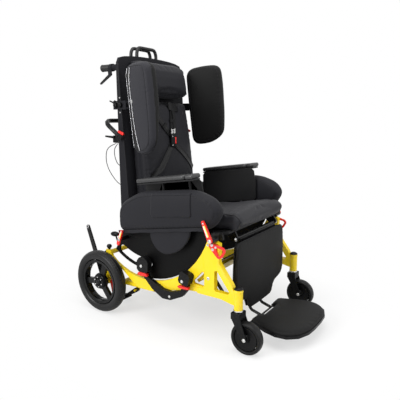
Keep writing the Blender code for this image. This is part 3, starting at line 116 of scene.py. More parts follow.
def on_wing(side, points):
    """Points of a wing's own frame: turned about its upright axis, then leaned with the back."""
    p = np.asarray(points, float)
    a = np.radians(-90.0 + side * WING_SPLAY)
    b = np.radians(-BACK_LEAN)
    x = p[..., 0] * np.cos(a) - p[..., 1] * np.sin(a)
    y = p[..., 0] * np.sin(a) + p[..., 1] * np.cos(a)
    z = p[..., 2]
    leaned = np.stack([x, y * np.cos(b) - z * np.sin(b), y * np.sin(b) + z * np.cos(b)], -1)
    return leaned + at_axle([side * WING_POST[0], WING_POST[1], WING_POST[2]])


# Curves and surfaces
def unit(v):
    """Vectors divided by their lengths."""
    v = np.asarray(v, float)
    return v / np.maximum(np.linalg.norm(v, axis=-1, keepdims=True), 1e-12)


def smooth_line(knots, count, closed=False):
    """Catmull-Rom curve through the knots, read at evenly spaced lengths."""
    k = np.asarray(knots, float)
    spans = len(k) if closed else len(k) - 1
    t = np.linspace(0, spans, spans * 24, endpoint=not closed)
    i = np.minimum(t.astype(int), spans - 1)
    f = (t - i)[:, None]
    if closed:
        a, b, c, d = (k[(i + n) % len(k)] for n in (-1, 0, 1, 2))
    else:
        a, b, c, d = (k[np.clip(i + n, 0, len(k) - 1)] for n in (-1, 0, 1, 2))
    line = 0.5 * (2 * b + (c - a) * f + (2 * a - 5 * b + 4 * c - d) * f ** 2
                  + (3 * b - a - 3 * c + d) * f ** 3)
    return even(line, count, closed)


def even(line, count, closed=False):
    """The same line, read at evenly spaced lengths."""
    line = np.asarray(line, float)
    if closed:
        line = np.vstack([line, line[:1]])
    run = np.concatenate([[0], np.cumsum(np.linalg.norm(np.diff(line, axis=0), axis=1))])
    want = np.linspace(0, run[-1], count, endpoint=not closed)
    return np.stack([np.interp(want, run, line[:, n]) for n in range(line.shape[1])], -1)


def rounded(corners, radius, steps=6):
    """Closed outline whose corners are quadratic curves of the given reach."""
    c = np.asarray(corners, float)
    before = np.roll(c, 1, 0) - c
    after = np.roll(c, -1, 0) - c
    short = np.minimum(np.linalg.norm(before, axis=1), np.linalg.norm(after, axis=1)) * 0.48
    reach = np.minimum(radius, short)[:, None]
    start, end = c + unit(before) * reach, c + unit(after) * reach
    t = np.linspace(0, 1, steps + 1)[None, :, None]
    curve = start[:, None] * (1 - t) ** 2 + c[:, None] * 2 * t * (1 - t) + end[:, None] * t ** 2
    return curve.reshape(-1, c.shape[1])


def lattice(rows, columns, wrap_rows, wrap_columns, start=0):
    """Quads of a grid of points, joined round where it wraps."""
    i = np.arange(rows if wrap_rows else rows - 1)[:, None]
    j = np.arange(columns if wrap_columns else columns - 1)[None, :]
    i2, j2 = (i + 1) % rows, (j + 1) % columns
    quads = np.stack([i * columns + j, i * columns + j2, i2 * columns + j2, i2 * columns + j], -1)
    return quads.reshape(-1, 4) + start


def fan(first, columns, centre):
    """Triangles from one ring of points to a centre point."""
    j = np.arange(columns)
    return np.stack([first + j, first + (j + 1) % columns, np.full(columns, centre)], -1)


def rings_solid(rings):
    """Closed skin over a stack of closed rings: a lattice, with a pole at either end."""
    rings = np.asarray(rings, float)
    rows, columns = rings.shape[:2]
    points = np.vstack([rings.reshape(-1, 3), rings[0].mean(0)[None], rings[-1].mean(0)[None]])
    size = rows * columns
    faces = lattice(rows, columns, False, True).tolist()
    faces += fan(0, columns, size).tolist()
    faces += fan(size - columns, columns, size + 1).tolist()
    return points, faces


def swept(path, section, up=(0.0, 0.0, 1.0), closed=False):
    """Section of (across, up) carried along a path; its frame is tangent, across, up."""
    path = np.asarray(path, float)
    if closed:
        way = np.roll(path, -1, 0) - np.roll(path, 1, 0)
    else:
        way = np.gradient(path, axis=0)
    way = unit(way)
    up = np.broadcast_to(np.asarray(up, float), path.shape)
    across = unit(np.cross(way, up))
    rise = np.cross(across, way)
    section = np.asarray(section, float)
    if section.ndim == 2:
        section = np.broadcast_to(section, (len(path),) + section.shape)
    skin = (path[:, None] + across[:, None] * section[..., :1] + rise[:, None] * section[..., 1:])
    if not closed:
        return rings_solid(skin)
    rows, columns = skin.shape[:2]
    return skin.reshape(-1, 3), lattice(rows, columns, True, True).tolist()


def circle(radius, count=14):
    """Round section."""
    a = np.linspace(0, 2 * np.pi, count, endpoint=False)
    return np.stack([radius * np.cos(a), radius * np.sin(a)], -1)


def ring_about(axis, steps):
    """Unit axis, the angles round it, and the unit ring of points square to it."""
    axis = unit(axis)
    helper = np.array([0.0, 0.0, 1.0]) if abs(axis[2]) < 0.9 else np.array([1.0, 0.0, 0.0])
    u = unit(np.cross(axis, helper))
    v = np.cross(axis, u)
    a = np.linspace(0, 2 * np.pi, steps, endpoint=False)
    return axis, a, np.cos(a)[:, None] * u + np.sin(a)[:, None] * v


def turned(profile, centre, axis, steps=48):
    """Profile of (radius, height) turned about an axis through a centre, closed at both ends."""
    profile = np.asarray(profile, float)
    axis, _, ring = ring_about(axis, steps)
    rings = (np.asarray(centre, float) + profile[:, 0, None, None] * ring[None]
             + profile[:, 1, None, None] * axis)
    if np.allclose(profile[0], profile[-1]):
        rings = rings[:-1]
        rows, columns = rings.shape[:2]
        return rings.reshape(-1, 3), lattice(rows, columns, True, True).tolist()
    return rings_solid(rings)


def slab(outline, thick, axis):
    """Outline of points in space, given a thickness to both sides along an axis."""
    outline = np.asarray(outline, float)
    shift = unit(axis) * thick / 2
    points = np.vstack([outline - shift, outline + shift])
    count = len(outline)
    j = np.arange(count)
    sides = np.stack([j, (j + 1) % count, (j + 1) % count + count, j + count], -1).tolist()
    return points, sides + [list(range(count))[::-1], list(range(count, 2 * count))]


def sheet(grid, thick):
    """Closed cloth sheet: the grid shifted to both sides along its normals, its rim joined."""
    rows, columns = grid.shape[:2]
    normal = unit(np.cross(np.gradient(grid, axis=0), np.gradient(grid, axis=1)))
    points = np.vstack([(grid - normal * thick / 2).reshape(-1, 3),
                        (grid + normal * thick / 2).reshape(-1, 3)])
    size = rows * columns
    flat = lattice(rows, columns, False, False)
    index = np.arange(size).reshape(rows, columns)
    rim = np.concatenate([index[0], index[1:, -1], index[-1, -2::-1], index[-2:0:-1, 0]])
    after = np.roll(rim, -1)
    walls = np.stack([rim, after, after + size, rim + size], -1)
    return points, flat[:, ::-1].tolist() + (flat + size).tolist() + walls.tolist()


def together(parts):
    """Several (points, faces) as one."""
    points, faces, start = [], [], 0
    for some_points, some_faces in parts:
        points.append(np.asarray(some_points, float))
        faces += [[index + start for index in face] for face in some_faces]
        start += len(some_points)
    return np.vstack(points), faces


def across_x(outline, x):
    """Outline of (distance behind the axle, height) placed at one side distance."""
    outline = np.asarray(outline, float)
    return at_axle(np.column_stack([np.full(len(outline), x), outline]))


def link(first, first_r, second, second_r):
    """Outline of two round ends and the straight sides between them."""
    first, second = np.asarray(first, float), np.asarray(second, float)
    lean = np.arctan2(*(second - first)[::-1])
    a = lean + np.pi / 2 + np.linspace(0, np.pi, 12)
    b = lean - np.pi / 2 + np.linspace(0, np.pi, 12)
    one = first + first_r * np.stack([np.cos(a), np.sin(a)], -1)
    two = second + second_r * np.stack([np.cos(b), np.sin(b)], -1)
    return np.vstack([one, two])


def bolt_head(centre, axis, radius, height):
    """Domed screw head on a washer, with a socket: a turned profile."""
    shares = ((0.0, 0.55), (0.42, 0.55), (0.48, 0.98), (0.74, 0.93), (0.92, 0.62), (1.0, 0.32),
              (1.28, 0.30), (1.30, 0.0), (1.30, -0.25))
    return turned([(radius * r, height * h) for r, h in shares], centre, axis, 24)


# Objects
def new_object(name, shape, body, finish, slot, edge=0.0, smooth=40.0, soften=0):
    """Mesh object at the origin, with its finish, on its body; edges get a small round."""
    points, faces = shape
    mesh = bpy.data.meshes.new(name)
    mesh.from_pydata(np.asarray(points).tolist(), [], faces)
    mesh.validate()
    mesh.materials.append(FINISH[finish])
    piece = bpy.data.objects.new(name, mesh)
    bpy.context.scene.collection.objects.link(piece)
    outward(piece)
    shade(piece, smooth)
    if edge:
        add_edge(piece, edge)
    if soften:
        add_soften(piece, soften)
    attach(piece, body)
    return piece


def outward(piece):
    """Normals of a closed mesh made to point out."""
    work = bmesh.new()
    work.from_mesh(piece.data)
    bmesh.ops.recalc_face_normals(work, faces=work.faces)
    work.to_mesh(piece.data)
    work.free()


def shade(piece, degrees):
    """Smooth shading up to an angle between faces."""
    piece.data.shade_smooth()
    if degrees < 180:
        piece.data.set_sharp_from_angle(angle=np.radians(degrees))


def add_edge(piece, width):
    """Bevel of real width on the sharp edges."""
    bevel = piece.modifiers.new("edge", "BEVEL")
    bevel.width = width
    bevel.segments = 2
    bevel.limit_method = "ANGLE"
    bevel.angle_limit = np.radians(35.0)
    bevel.use_clamp_overlap = True
    bevel.harden_normals = True


def add_soften(piece, levels):
    """Subdivision surface, the same in the view and in the render."""
    smooth = piece.modifiers.new("soften", "SUBSURF")
    smooth.levels = levels
    smooth.render_levels = levels


def merged_copy(node, name):
    """Copy of a solid's mesh, its loose triangles merged and its flat faces joined again."""
    mesh = NODES[node].data.copy()
    mesh.name = name
    work = bmesh.new()
    work.from_mesh(mesh)
    bmesh.ops.remove_doubles(work, verts=work.verts, dist=0.00001)
    bmesh.ops.dissolve_limit(work, angle_limit=np.radians(0.5), verts=work.verts, edges=work.edges)
    work.to_mesh(mesh)
    work.free()
    for name_of in [a.name for a in mesh.attributes if a.name.startswith("_") or a.name == "sharp_edge"]:
        mesh.attributes.remove(mesh.attributes[name_of])
    piece = bpy.data.objects.new(name, mesh)
    bpy.context.scene.collection.objects.link(piece)
    return piece


# Node groups shared by the finishes
def new_group(name, inputs, outputs):
    """Empty shader group with named float inputs and outputs, and its Object coordinates."""
    group = bpy.data.node_groups.new(name, "ShaderNodeTree")
    for label, value in inputs:
        socket = group.interface.new_socket(label, in_out="INPUT", socket_type="NodeSocketFloat")
        socket.default_value = value
    for label in outputs:
        group.interface.new_socket(label, in_out="OUTPUT", socket_type="NodeSocketFloat")
    place = group.nodes.new("ShaderNodeTexCoord").outputs["Object"]
    return group, group.nodes.new("NodeGroupInput"), group.nodes.new("NodeGroupOutput"), place


def math_node(tree, operation, first, second, clamp=False):
    """Math node between two sockets or numbers."""
    made = tree.nodes.new("ShaderNodeMath")
    made.operation = operation
    made.use_clamp = clamp
    for socket, value in zip(made.inputs, (first, second)):
        if isinstance(value, (int, float)):
            socket.default_value = value
        else:
            tree.links.new(value, socket)
    return made.outputs[0]


def texture(tree, kind, scale, vector, **values):
    """Texture node on Object coordinates with a scale socket or number."""
    made = tree.nodes.new(kind)
    tree.links.new(vector, made.inputs["Vector"])
    if isinstance(scale, (int, float)):
        made.inputs["Scale"].default_value = scale
    else:
        tree.links.new(scale, made.inputs["Scale"])
    for label, value in values.items():
        if label in made.inputs:
            made.inputs[label].default_value = value
        else:
            setattr(made, label, value)
    return made


def knit_group():
    """Fine knit: small round stitches, loose unevenness, and slow patches of shade."""
    group, given, result, place = new_group("knit", [("Scale", 900.0)], ["Height", "Shade"])
    cells = texture(group, "ShaderNodeTexVoronoi", given.outputs["Scale"], place, Randomness=0.55)
    fuzz = texture(group, "ShaderNodeTexNoise", 260.0, place, Detail=3.0)
    slow = texture(group, "ShaderNodeTexNoise", 14.0, place, Detail=4.0, Roughness=0.6)
    height = math_node(group, "SUBTRACT", 1.0, cells.outputs["Distance"])
    height = math_node(group, "MULTIPLY", height, math_node(group, "ADD", fuzz.outputs[0], 0.6))
    group.links.new(height, result.inputs["Height"])
    shade_of = math_node(group, "MULTIPLY", slow.outputs[0], 0.75)
    shade_of = math_node(group, "ADD", shade_of, math_node(group, "MULTIPLY", fuzz.outputs[0], 0.25))
    group.links.new(shade_of, result.inputs["Shade"])


def webbing_group():
    """Woven webbing: fine ribs across and a coarser twill, both from bands."""
    group, given, result, place = new_group("webbing", [("Scale", 420.0)], ["Height", "Shade"])
    ribs = texture(group, "ShaderNodeTexWave", given.outputs["Scale"], place, Distortion=0.4,
                   bands_direction="Z")
    twill = texture(group, "ShaderNodeTexWave", given.outputs["Scale"], place, Distortion=0.6,
                    bands_direction="DIAGONAL")
    slow = texture(group, "ShaderNodeTexNoise", 40.0, place, Detail=3.0)
    height = math_node(group, "MULTIPLY", ribs.outputs["Fac"], 0.6)
    height = math_node(group, "ADD", height, math_node(group, "MULTIPLY", twill.outputs["Fac"], 0.4))
    group.links.new(height, result.inputs["Height"])
    group.links.new(slow.outputs[0], result.inputs["Shade"])


def grain_group():
    """Moulded or coated grain: fine pits with slow orange peel under them."""
    group, given, result, place = new_group("grain", [("Scale", 1400.0)], ["Height", "Shade"])
    fine = texture(group, "ShaderNodeTexNoise", given.outputs["Scale"], place, Detail=2.0)
    peel = texture(group, "ShaderNodeTexNoise", 160.0, place, Detail=1.0)
    slow = texture(group, "ShaderNodeTexNoise", 9.0, place, Detail=5.0, Roughness=0.62)
    height = math_node(group, "MULTIPLY", fine.outputs[0], 0.45)
    height = math_node(group, "ADD", height, math_node(group, "MULTIPLY", peel.outputs[0], 0.55))
    group.links.new(height, result.inputs["Height"])
    group.links.new(slow.outputs[0], result.inputs["Shade"])


def speckle_group():
    """Textured board coating: raised specks of uneven size on a dark ground."""
    group, given, result, place = new_group("speckle", [("Scale", 520.0)], ["Height", "Shade"])
    specks = texture(group, "ShaderNodeTexVoronoi", given.outputs["Scale"], place)
    fine = texture(group, "ShaderNodeTexNoise", 900.0, place, Detail=3.0)
    raised = math_node(group, "SUBTRACT", 0.55, specks.outputs["Distance"], True)
    raised = math_node(group, "MULTIPLY", raised, 1.8, True)
    height = math_node(group, "MULTIPLY", raised, fine.outputs[0])
    group.links.new(height, result.inputs["Height"])
    glint = math_node(group, "POWER", fine.outputs[0], 3.0)
    group.links.new(math_node(group, "MULTIPLY", glint, 2.4, True), result.inputs["Shade"])


def brushed_group():
    """Ground metal: noise drawn out along one direction."""
    group, given, result, place = new_group("brushed", [("Scale", 60.0)], ["Height", "Shade"])
    drawn = group.nodes.new("ShaderNodeMapping")
    drawn.inputs["Scale"].default_value = (1.0, 14.0, 14.0)
    group.links.new(place, drawn.inputs["Vector"])
    lines = texture(group, "ShaderNodeTexNoise", given.outputs["Scale"], drawn.outputs[0], Detail=5.0)
    group.links.new(lines.outputs[0], result.inputs["Height"])
    group.links.new(lines.outputs[0], result.inputs["Shade"])


def wear_and_highlight_group():
    """Lighter convex edges, rubbed wear and a painted edge highlight: pointiness over a threshold,
    broken up by noise.
    """
    group, given, result, place = new_group("edge_wear_and_highlight", [("Amount", 0.5)], ["Mask"])
    point = group.nodes.new("ShaderNodeNewGeometry").outputs["Pointiness"]
    patches = texture(group, "ShaderNodeTexNoise", 85.0, place, Detail=6.0, Roughness=0.7)
    edge = math_node(group, "SUBTRACT", point, 0.515, True)
    edge = math_node(group, "MULTIPLY", edge, 9.0, True)
    broken = math_node(group, "SUBTRACT", patches.outputs[0], 0.42, True)
    broken = math_node(group, "MULTIPLY", broken, 5.0, True)
    mask = math_node(group, "MULTIPLY", edge, broken)
    group.links.new(math_node(group, "MULTIPLY", mask, given.outputs["Amount"], True),
                    result.inputs["Mask"])


def dust_group():
    """Settled dust: where a face looks up, in cloudy patches."""
    group, given, result, place = new_group("dust", [("Amount", 0.2)], ["Mask"])
    normal = group.nodes.new("ShaderNodeNewGeometry").outputs["Normal"]
    parts = group.nodes.new("ShaderNodeSeparateXYZ")
    group.links.new(normal, parts.inputs[0])
    cloud = texture(group, "ShaderNodeTexNoise", 26.0, place, Detail=6.0, Roughness=0.65)
    up = math_node(group, "ADD", math_node(group, "MULTIPLY", parts.outputs[2], 0.5), 0.5)
    mask = math_node(group, "MULTIPLY", math_node(group, "POWER", up, 2.0), cloud.outputs[0])
    group.links.new(math_node(group, "MULTIPLY", mask, given.outputs["Amount"], True),
                    result.inputs["Mask"])


def mix_colour(tree, mask, first, second):
    """Colour mix between two colours or sockets by a mask."""
    made = tree.nodes.new("ShaderNodeMix")
    made.data_type = "RGBA"
    tree.links.new(mask, made.inputs["Factor"])
    for socket, value in ((made.inputs[6], first), (made.inputs[7], second)):
        if isinstance(value, tuple):
            socket.default_value = (*value, 1.0)
        else:
            tree.links.new(value, socket)
    return made.outputs[2]


def use_group(tree, name, **values):
    """Group node with its own values."""
    made = tree.nodes.new("ShaderNodeGroup")
    made.node_tree = bpy.data.node_groups[name]
    for label, value in values.items():
        made.inputs[label].default_value = value
    return made


def new_finish(name, colour, rough, surface="grain", scale=1400.0, depth=0.00004, vary=0.10,
               spread=0.05, metallic=0.0, coat=0.0, sheen=0.0, wear_and_highlight=0.0, wear_and_highlight_colour=(0.3, 0.3, 0.3),
               dust=0.08, gloss=0.35):
    """Principled finish: a surface group for bump and shade, then lighter edges that are rubbed wear and
    a painted edge highlight, then dust.
    """
    material = bpy.data.materials.new(name)
    material.use_nodes = True
    tree = material.node_tree
    shader = tree.nodes["Principled BSDF"]
    for label, value in (("Metallic", metallic), ("Coat Weight", coat), ("Coat Roughness", 0.12),
                         ("Specular IOR Level", gloss), ("Sheen Weight", sheen),
                         ("Sheen Roughness", 0.45)):
        shader.inputs[label].default_value = value
    skin = use_group(tree, surface, Scale=scale)
    dark = tuple(c * (1 - vary) for c in colour)
    pale = tuple(min(1.0, c * (1 + vary)) for c in colour)
    shown = mix_colour(tree, skin.outputs["Shade"], dark, pale)
    # Lighter convex edges: rubbed wear and a painted edge highlight.
    if wear_and_highlight:
        wear_and_highlight_node = use_group(tree, "edge_wear_and_highlight", Amount=wear_and_highlight)
        shown = mix_colour(tree, wear_and_highlight_node.outputs["Mask"], shown, wear_and_highlight_colour)
    if dust:
        settled = use_group(tree, "dust", Amount=dust)
        shown = mix_colour(tree, settled.outputs["Mask"], shown, (0.30, 0.29, 0.27))
    tree.links.new(shown, shader.inputs["Base Color"])
    span = tree.nodes.new("ShaderNodeMapRange")
    span.inputs["To Min"].default_value = max(0.02, rough - spread)
    span.inputs["To Max"].default_value = min(1.0, rough + spread)
    tree.links.new(skin.outputs["Shade"], span.inputs["Value"])
    tree.links.new(span.outputs[0], shader.inputs["Roughness"])
    bump = tree.nodes.new("ShaderNodeBump")
    bump.inputs["Strength"].default_value = 0.5
    bump.inputs["Distance"].default_value = depth
    tree.links.new(skin.outputs["Height"], bump.inputs["Height"])
    tree.links.new(bump.outputs[0], shader.inputs["Normal"])
    FINISH[name] = material


def make_finishes(looks):
    """Every finish of the chair."""
    for build in (knit_group, webbing_group, grain_group, speckle_group, brushed_group, wear_and_highlight_group,
                  dust_group):
        build()
    cloth = tuple(looks.upholstery_colour)
    yellow = tuple(looks.frame_colour)
    black = tuple(looks.metal_colour)
    new_finish("upholstery", cloth, 0.60, "knit", 900.0, 0.00016, 0.16, 0.06, sheen=0.04, dust=0.008,
               gloss=0.13)
    # Lighter copy of the cloth on the wings: painted light on their outer faces.
    new_finish("lit_wing_upholstery", tuple(c * 1.5 for c in cloth), 0.60, "knit", 900.0, 0.00018, 0.18,
               0.06,
               sheen=0.05, dust=0.010, gloss=0.15)
    new_finish("seat_upholstery", tuple(c * 1.1 for c in cloth), 0.50, "knit", 1100.0, 0.00012, 0.14,
               0.07, sheen=0.04, dust=0.012, gloss=0.20)
    new_finish("piping", tuple(c * 0.6 for c in cloth), 0.50, "webbing", 900.0, 0.00010, 0.12, dust=0.01,
               gloss=0.2)
    new_finish("stitching", tuple(c * 1.8 for c in cloth), 0.70, "webbing", 1600.0, 0.00010, dust=0.0,
               gloss=0.2)
    new_finish("web", (0.0026, 0.0026, 0.0030), 0.42, "webbing", 480.0, 0.00030, 0.25, sheen=0.0,
               dust=0.0,
               gloss=0.22)
    # Darker copy of the cloth: painted shade on the wing faces towards the head, and the darker tone of
    # the calf pad and footplate cover.
    new_finish("dark_upholstery", tuple(c * 0.62 for c in (cloth[0], cloth[0], cloth[0])), 0.58, "knit",
               900.0,
               0.00014, 0.14, 0.06, sheen=0.02, dust=0.006, gloss=0.11)
    new_finish("shell_cloth", (0.0086, 0.0086, 0.0110), 0.62, "knit", 700.0, 0.00020, 0.16, sheen=0.02,
               dust=0.006, gloss=0.12)
    new_finish("guard_black", (0.0130, 0.0130, 0.0136), 0.38, "grain", 900.0, 0.00003, 0.06, 0.04,
               dust=0.0, gloss=0.20)
    # The edge colours below are lighter than each paint: rubbed wear and a painted edge highlight on
    # convex edges.
    new_finish("yellow_paint", yellow, 0.34, "grain", 1200.0, 0.00004, 0.04, 0.05, coat=0.12, wear_and_highlight=0.35,
               wear_and_highlight_colour=(0.75, 0.60, 0.20), dust=0.015, gloss=0.25)
    new_finish("black_paint", tuple(c * 0.6 for c in black), 0.24, "grain", 1300.0, 0.00004, 0.10, 0.05,
               wear_and_highlight=0.40, wear_and_highlight_colour=(0.10, 0.10, 0.10), dust=0.006, gloss=0.17)
    new_finish("moulded_black", (0.0036, 0.0036, 0.0040), 0.34, "grain", 1500.0, 0.00008, 0.10, 0.06,
               wear_and_highlight=0.30, wear_and_highlight_colour=(0.05, 0.05, 0.05), dust=0.006, gloss=0.14)
    new_finish("arm_rubber", (0.020, 0.020, 0.021), 0.40, "grain", 1800.0, 0.00010, 0.10, 0.05,
               wear_and_highlight=0.2, wear_and_highlight_colour=(0.07, 0.07, 0.07), dust=0.02, gloss=0.55)
    new_finish("rim_black", (0.0034, 0.0034, 0.0038), 0.26, "grain", 1100.0, 0.00005, 0.10, 0.05,
               wear_and_highlight=0.3,
               wear_and_highlight_colour=(0.06, 0.06, 0.06), dust=0.005, gloss=0.17)
    new_finish("tyre_rubber", (0.0050, 0.0050, 0.0054), 0.36, "grain", 900.0, 0.00010, 0.16, 0.07,
               dust=0.012, wear_and_highlight=0.4, wear_and_highlight_colour=(0.05, 0.05, 0.05), gloss=0.26)
    new_finish("caster_rubber", (0.0055, 0.0055, 0.0055), 0.42, "grain", 900.0, 0.00010, 0.14, 0.08,
               dust=0.012, gloss=0.18)
    new_finish("board", (0.0034, 0.0034, 0.0036), 0.50, "speckle", 460.0, 0.00020, 0.85, 0.12,
               dust=0.006,
               gloss=0.09)
    new_finish("red_paint", (0.78, 0.010, 0.006), 0.34, "grain", 1200.0, 0.00004, 0.08, 0.05, coat=0.2,
               wear_and_highlight=0.3, wear_and_highlight_colour=(0.55, 0.20, 0.16), dust=0.015, gloss=0.30)
    new_finish("label_white", (0.80, 0.80, 0.74), 0.45, "grain", 1500.0, 0.00002, 0.05, dust=0.02)
    new_finish("label_yellow", (0.82, 0.70, 0.06), 0.42, "grain", 1500.0, 0.00002, 0.06, dust=0.02)
    new_finish("ground_steel", (0.50, 0.50, 0.51), 0.28, "brushed", 60.0, 0.00002, 0.10, 0.08,
               metallic=1.0, dust=0.03)
    new_finish("zinc", (0.62, 0.62, 0.61), 0.30, "brushed", 120.0, 0.00002, 0.12, 0.08, metallic=1.0,
               dust=0.03)
    new_finish("cable_black", (0.006, 0.006, 0.0065), 0.38, "grain", 900.0, 0.00003, dust=0.01)
    new_finish("grip_rubber", (0.008, 0.008, 0.0085), 0.50, "grain", 1000.0, 0.00014, 0.12, dust=0.02,
               gloss=0.35)


# Solids that keep their shape and get a finish with small rounds on their edges
RIGID = {
    "yellow_paint": ("side_frame_right", "side_frame_left", "cross_beam", "rear_cross_tube",
                     "axle_beam"),
    "moulded_black": ("roller_carrier_right", "roller_carrier_left", "caster_fork_right",
                      "caster_fork_left", "caster_wheel_right", "caster_wheel_left", "foot_board"),
    "red_paint": ("tie_down_ring_right", "tie_down_ring_left", "lock_lever_front_right",
                  "lock_lever_front_left", "lock_lever_rear_right", "lock_lever_rear_left",
                  "buckle_button"),
    "guard_black": ("arm_frame_right", "arm_frame_left"),
    "black_paint": ("brake_pedal", "parking_lever", "seat_frame", "strut_body",
                    "wing_plate_right", "wing_plate_left", "push_bar", "grip_lever_right",
                    "grip_lever_left", "brake_lever",
                    "legrest_frame", "foot_bars"),
    "rim_black": ("rear_wheel_right", "rear_wheel_left"),
    "board": ("rocker_right", "rocker_left"),
    "ground_steel": ("front_roller_shaft", "rear_roller_shaft", "strut_rod"),
    "shell_cloth": ("back_shell",),
}
LEVER_BOSS = (-0.6680, 0.4740)
SLOT_OF = {part["node"]: part["material_slot"] for part in frame["record"]["subparts"]}


def paint_zone(piece, finish, inside):
    """Give the faces whose centres lie in a zone a second finish."""
    mesh = piece.data
    centres = np.empty(len(mesh.polygons) * 3)
    mesh.polygons.foreach_get("center", centres)
    mesh.materials.append(FINISH[finish])
    chosen = inside(centres.reshape(-1, 3)).astype(np.int32)
    mesh.polygons.foreach_set("material_index", chosen)


def on_lever_boss(centres):
    """Faces of the black boss and pin that carry the front lock lever."""
    away = np.hypot(centres[:, 1] - AXLE_Y - LEVER_BOSS[0], centres[:, 2] - LEVER_BOSS[1])
    return (np.abs(centres[:, 0]) > 0.3036) & (away < 0.0145)


def dress_rigid():
    """Replace each rigid solid by its own merged copy with rounded edges and a finish."""
    for finish, nodes in RIGID.items():
        for node in nodes:
            piece = merged_copy(node, node + "_skin")
            piece.data.materials.clear()
            piece.data.materials.append(FINISH[finish])
            if node.startswith("side_frame"):
                paint_zone(piece, "black_paint", on_lever_boss)
            shade(piece, 38.0)
            add_edge(piece, 0.0004 if node == "buckle_button" else 0.0008)
            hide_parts(node)
            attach(piece, BODY_OF[node])


# Stage
def photo_camera(looks):
    """Camera at the photograph's place: position, forward and sideways directions, focal length."""
    lens = bpy.data.cameras.new("photo_camera")
    lens.sensor_width = 36.0
    lens.lens = looks.focal_length
    lens.clip_end = 60.0
    camera = bpy.data.objects.new("photo_camera", lens)
    bpy.context.scene.collection.objects.link(camera)
    yaw, pitch, roll = np.radians([looks.camera_yaw, looks.camera_pitch, looks.camera_roll])
    forward = np.array([np.cos(pitch) * np.cos(yaw), np.cos(pitch) * np.sin(yaw), -np.sin(pitch)])
    level = np.array([np.sin(yaw), -np.cos(yaw), 0.0])
    rise = np.cross(level, forward)
    right = np.cos(roll) * level + np.sin(roll) * rise
    up = np.cos(roll) * rise - np.sin(roll) * level
    camera.matrix_world = Matrix((
        (right[0], up[0], -forward[0], looks.camera_place[0]),
        (right[1], up[1], -forward[1], looks.camera_place[1]),
        (right[2], up[2], -forward[2], looks.camera_place[2]),
        (0.0, 0.0, 0.0, 1.0)))
    bpy.context.scene.camera = camera


def soft_lamp(name, place, target, size, power):
    """Square area lamp that looks at a point."""
    lamp = bpy.data.lights.new(name, "AREA")
    lamp.shape = "SQUARE"
    lamp.size = size
    lamp.energy = power
    holder = bpy.data.objects.new(name, lamp)
    bpy.context.scene.collection.objects.link(holder)
    holder.location = place
    holder.rotation_euler = (Vector(target) - Vector(place)).to_track_quat("-Z", "Y").to_euler()


def plain_background(looks):
    """World that lights evenly and shows white to the camera and to reflections."""
    world = bpy.data.worlds.new("soft_sky")
    world.use_nodes = True
    tree = world.node_tree
    tree.nodes["Background"].inputs["Color"].default_value = (1.0, 1.0, 1.0, 1.0)
    tree.nodes["Background"].inputs["Strength"].default_value = looks.sky_level
    seen = tree.nodes.new("ShaderNodeBackground")
    seen.inputs["Color"].default_value = (1.0, 1.0, 1.0, 1.0)
    seen.inputs["Strength"].default_value = 1.0
    rays = tree.nodes.new("ShaderNodeLightPath")
    mix = tree.nodes.new("ShaderNodeMixShader")
    seen_by = math_node(tree, "MAXIMUM", rays.outputs["Is Camera Ray"], rays.outputs["Is Glossy Ray"])
    seen_by = math_node(tree, "MAXIMUM", seen_by, rays.outputs["Is Transmission Ray"])
    tree.links.new(seen_by, mix.inputs[0])
    tree.links.new(tree.nodes["Background"].outputs[0], mix.inputs[1])
    tree.links.new(seen.outputs[0], mix.inputs[2])
    tree.links.new(mix.outputs[0], tree.nodes["World Output"].inputs[0])
    bpy.context.scene.world = world


def pale_floor():
    """Round floor, nearly white to the camera, that keeps the soft shadow."""
    radius = 14.0
    rings = np.linspace(0.0, 1.0, 12)[1:, None] * radius
    turn = np.linspace(0, 2 * np.pi, 64, endpoint=False)[None]
    points = np.stack([rings * np.cos(turn), rings * np.sin(turn), rings * 0 + turn * 0], -1)
    skin = np.vstack([points.reshape(-1, 3), [[0.0, 0.0, 0.0]]])
    faces = lattice(11, 64, False, True).tolist() + fan(0, 64, len(skin) - 1).tolist()
    mesh = bpy.data.meshes.new("floor")
    mesh.from_pydata(skin.tolist(), [], faces)
    floor = bpy.data.objects.new("floor", mesh)
    bpy.context.scene.collection.objects.link(floor)
    floor.location = (0.0, 0.0, -0.0006)
    material = bpy.data.materials.new("pale_floor")
    material.use_nodes = True
    tree = material.node_tree
    shader = tree.nodes["Principled BSDF"]
    shader.inputs["Base Color"].default_value = (0.86, 0.86, 0.86, 1.0)
    shader.inputs["Roughness"].default_value = 0.85
    glow = tree.nodes.new("ShaderNodeEmission")
    glow.inputs["Color"].default_value = (1.0, 1.0, 1.0, 1.0)
    rays = tree.nodes.new("ShaderNodeLightPath")
    spot = tree.nodes.new("ShaderNodeTexCoord")
    fit = tree.nodes.new("ShaderNodeMapping")
    fit.inputs["Scale"].default_value = (1.19, 0.99, 1.0)
    near = tree.nodes.new("ShaderNodeTexGradient")
    near.gradient_type = "SPHERICAL"
    white = tree.nodes.new("ShaderNodeMapRange")
    white.interpolation_type = "SMOOTHSTEP"
    for socket, value in (("From Min", 0.0), ("From Max", 0.444), ("To Min", 1.0), ("To Max", 0.62)):
        white.inputs[socket].default_value = value
    tree.links.new(spot.outputs["Object"], fit.inputs["Vector"])
    tree.links.new(fit.outputs[0], near.inputs["Vector"])
    tree.links.new(near.outputs["Fac"], white.inputs["Value"])
    part = math_node(tree, "MULTIPLY", rays.outputs["Is Camera Ray"], white.outputs[0])
    mix = tree.nodes.new("ShaderNodeMixShader")
    tree.links.new(part, mix.inputs[0])
    tree.links.new(shader.outputs[0], mix.inputs[1])
    tree.links.new(glow.outputs[0], mix.inputs[2])
    tree.links.new(mix.outputs[0], tree.nodes["Material Output"].inputs["Surface"])
    mesh.materials.append(material)


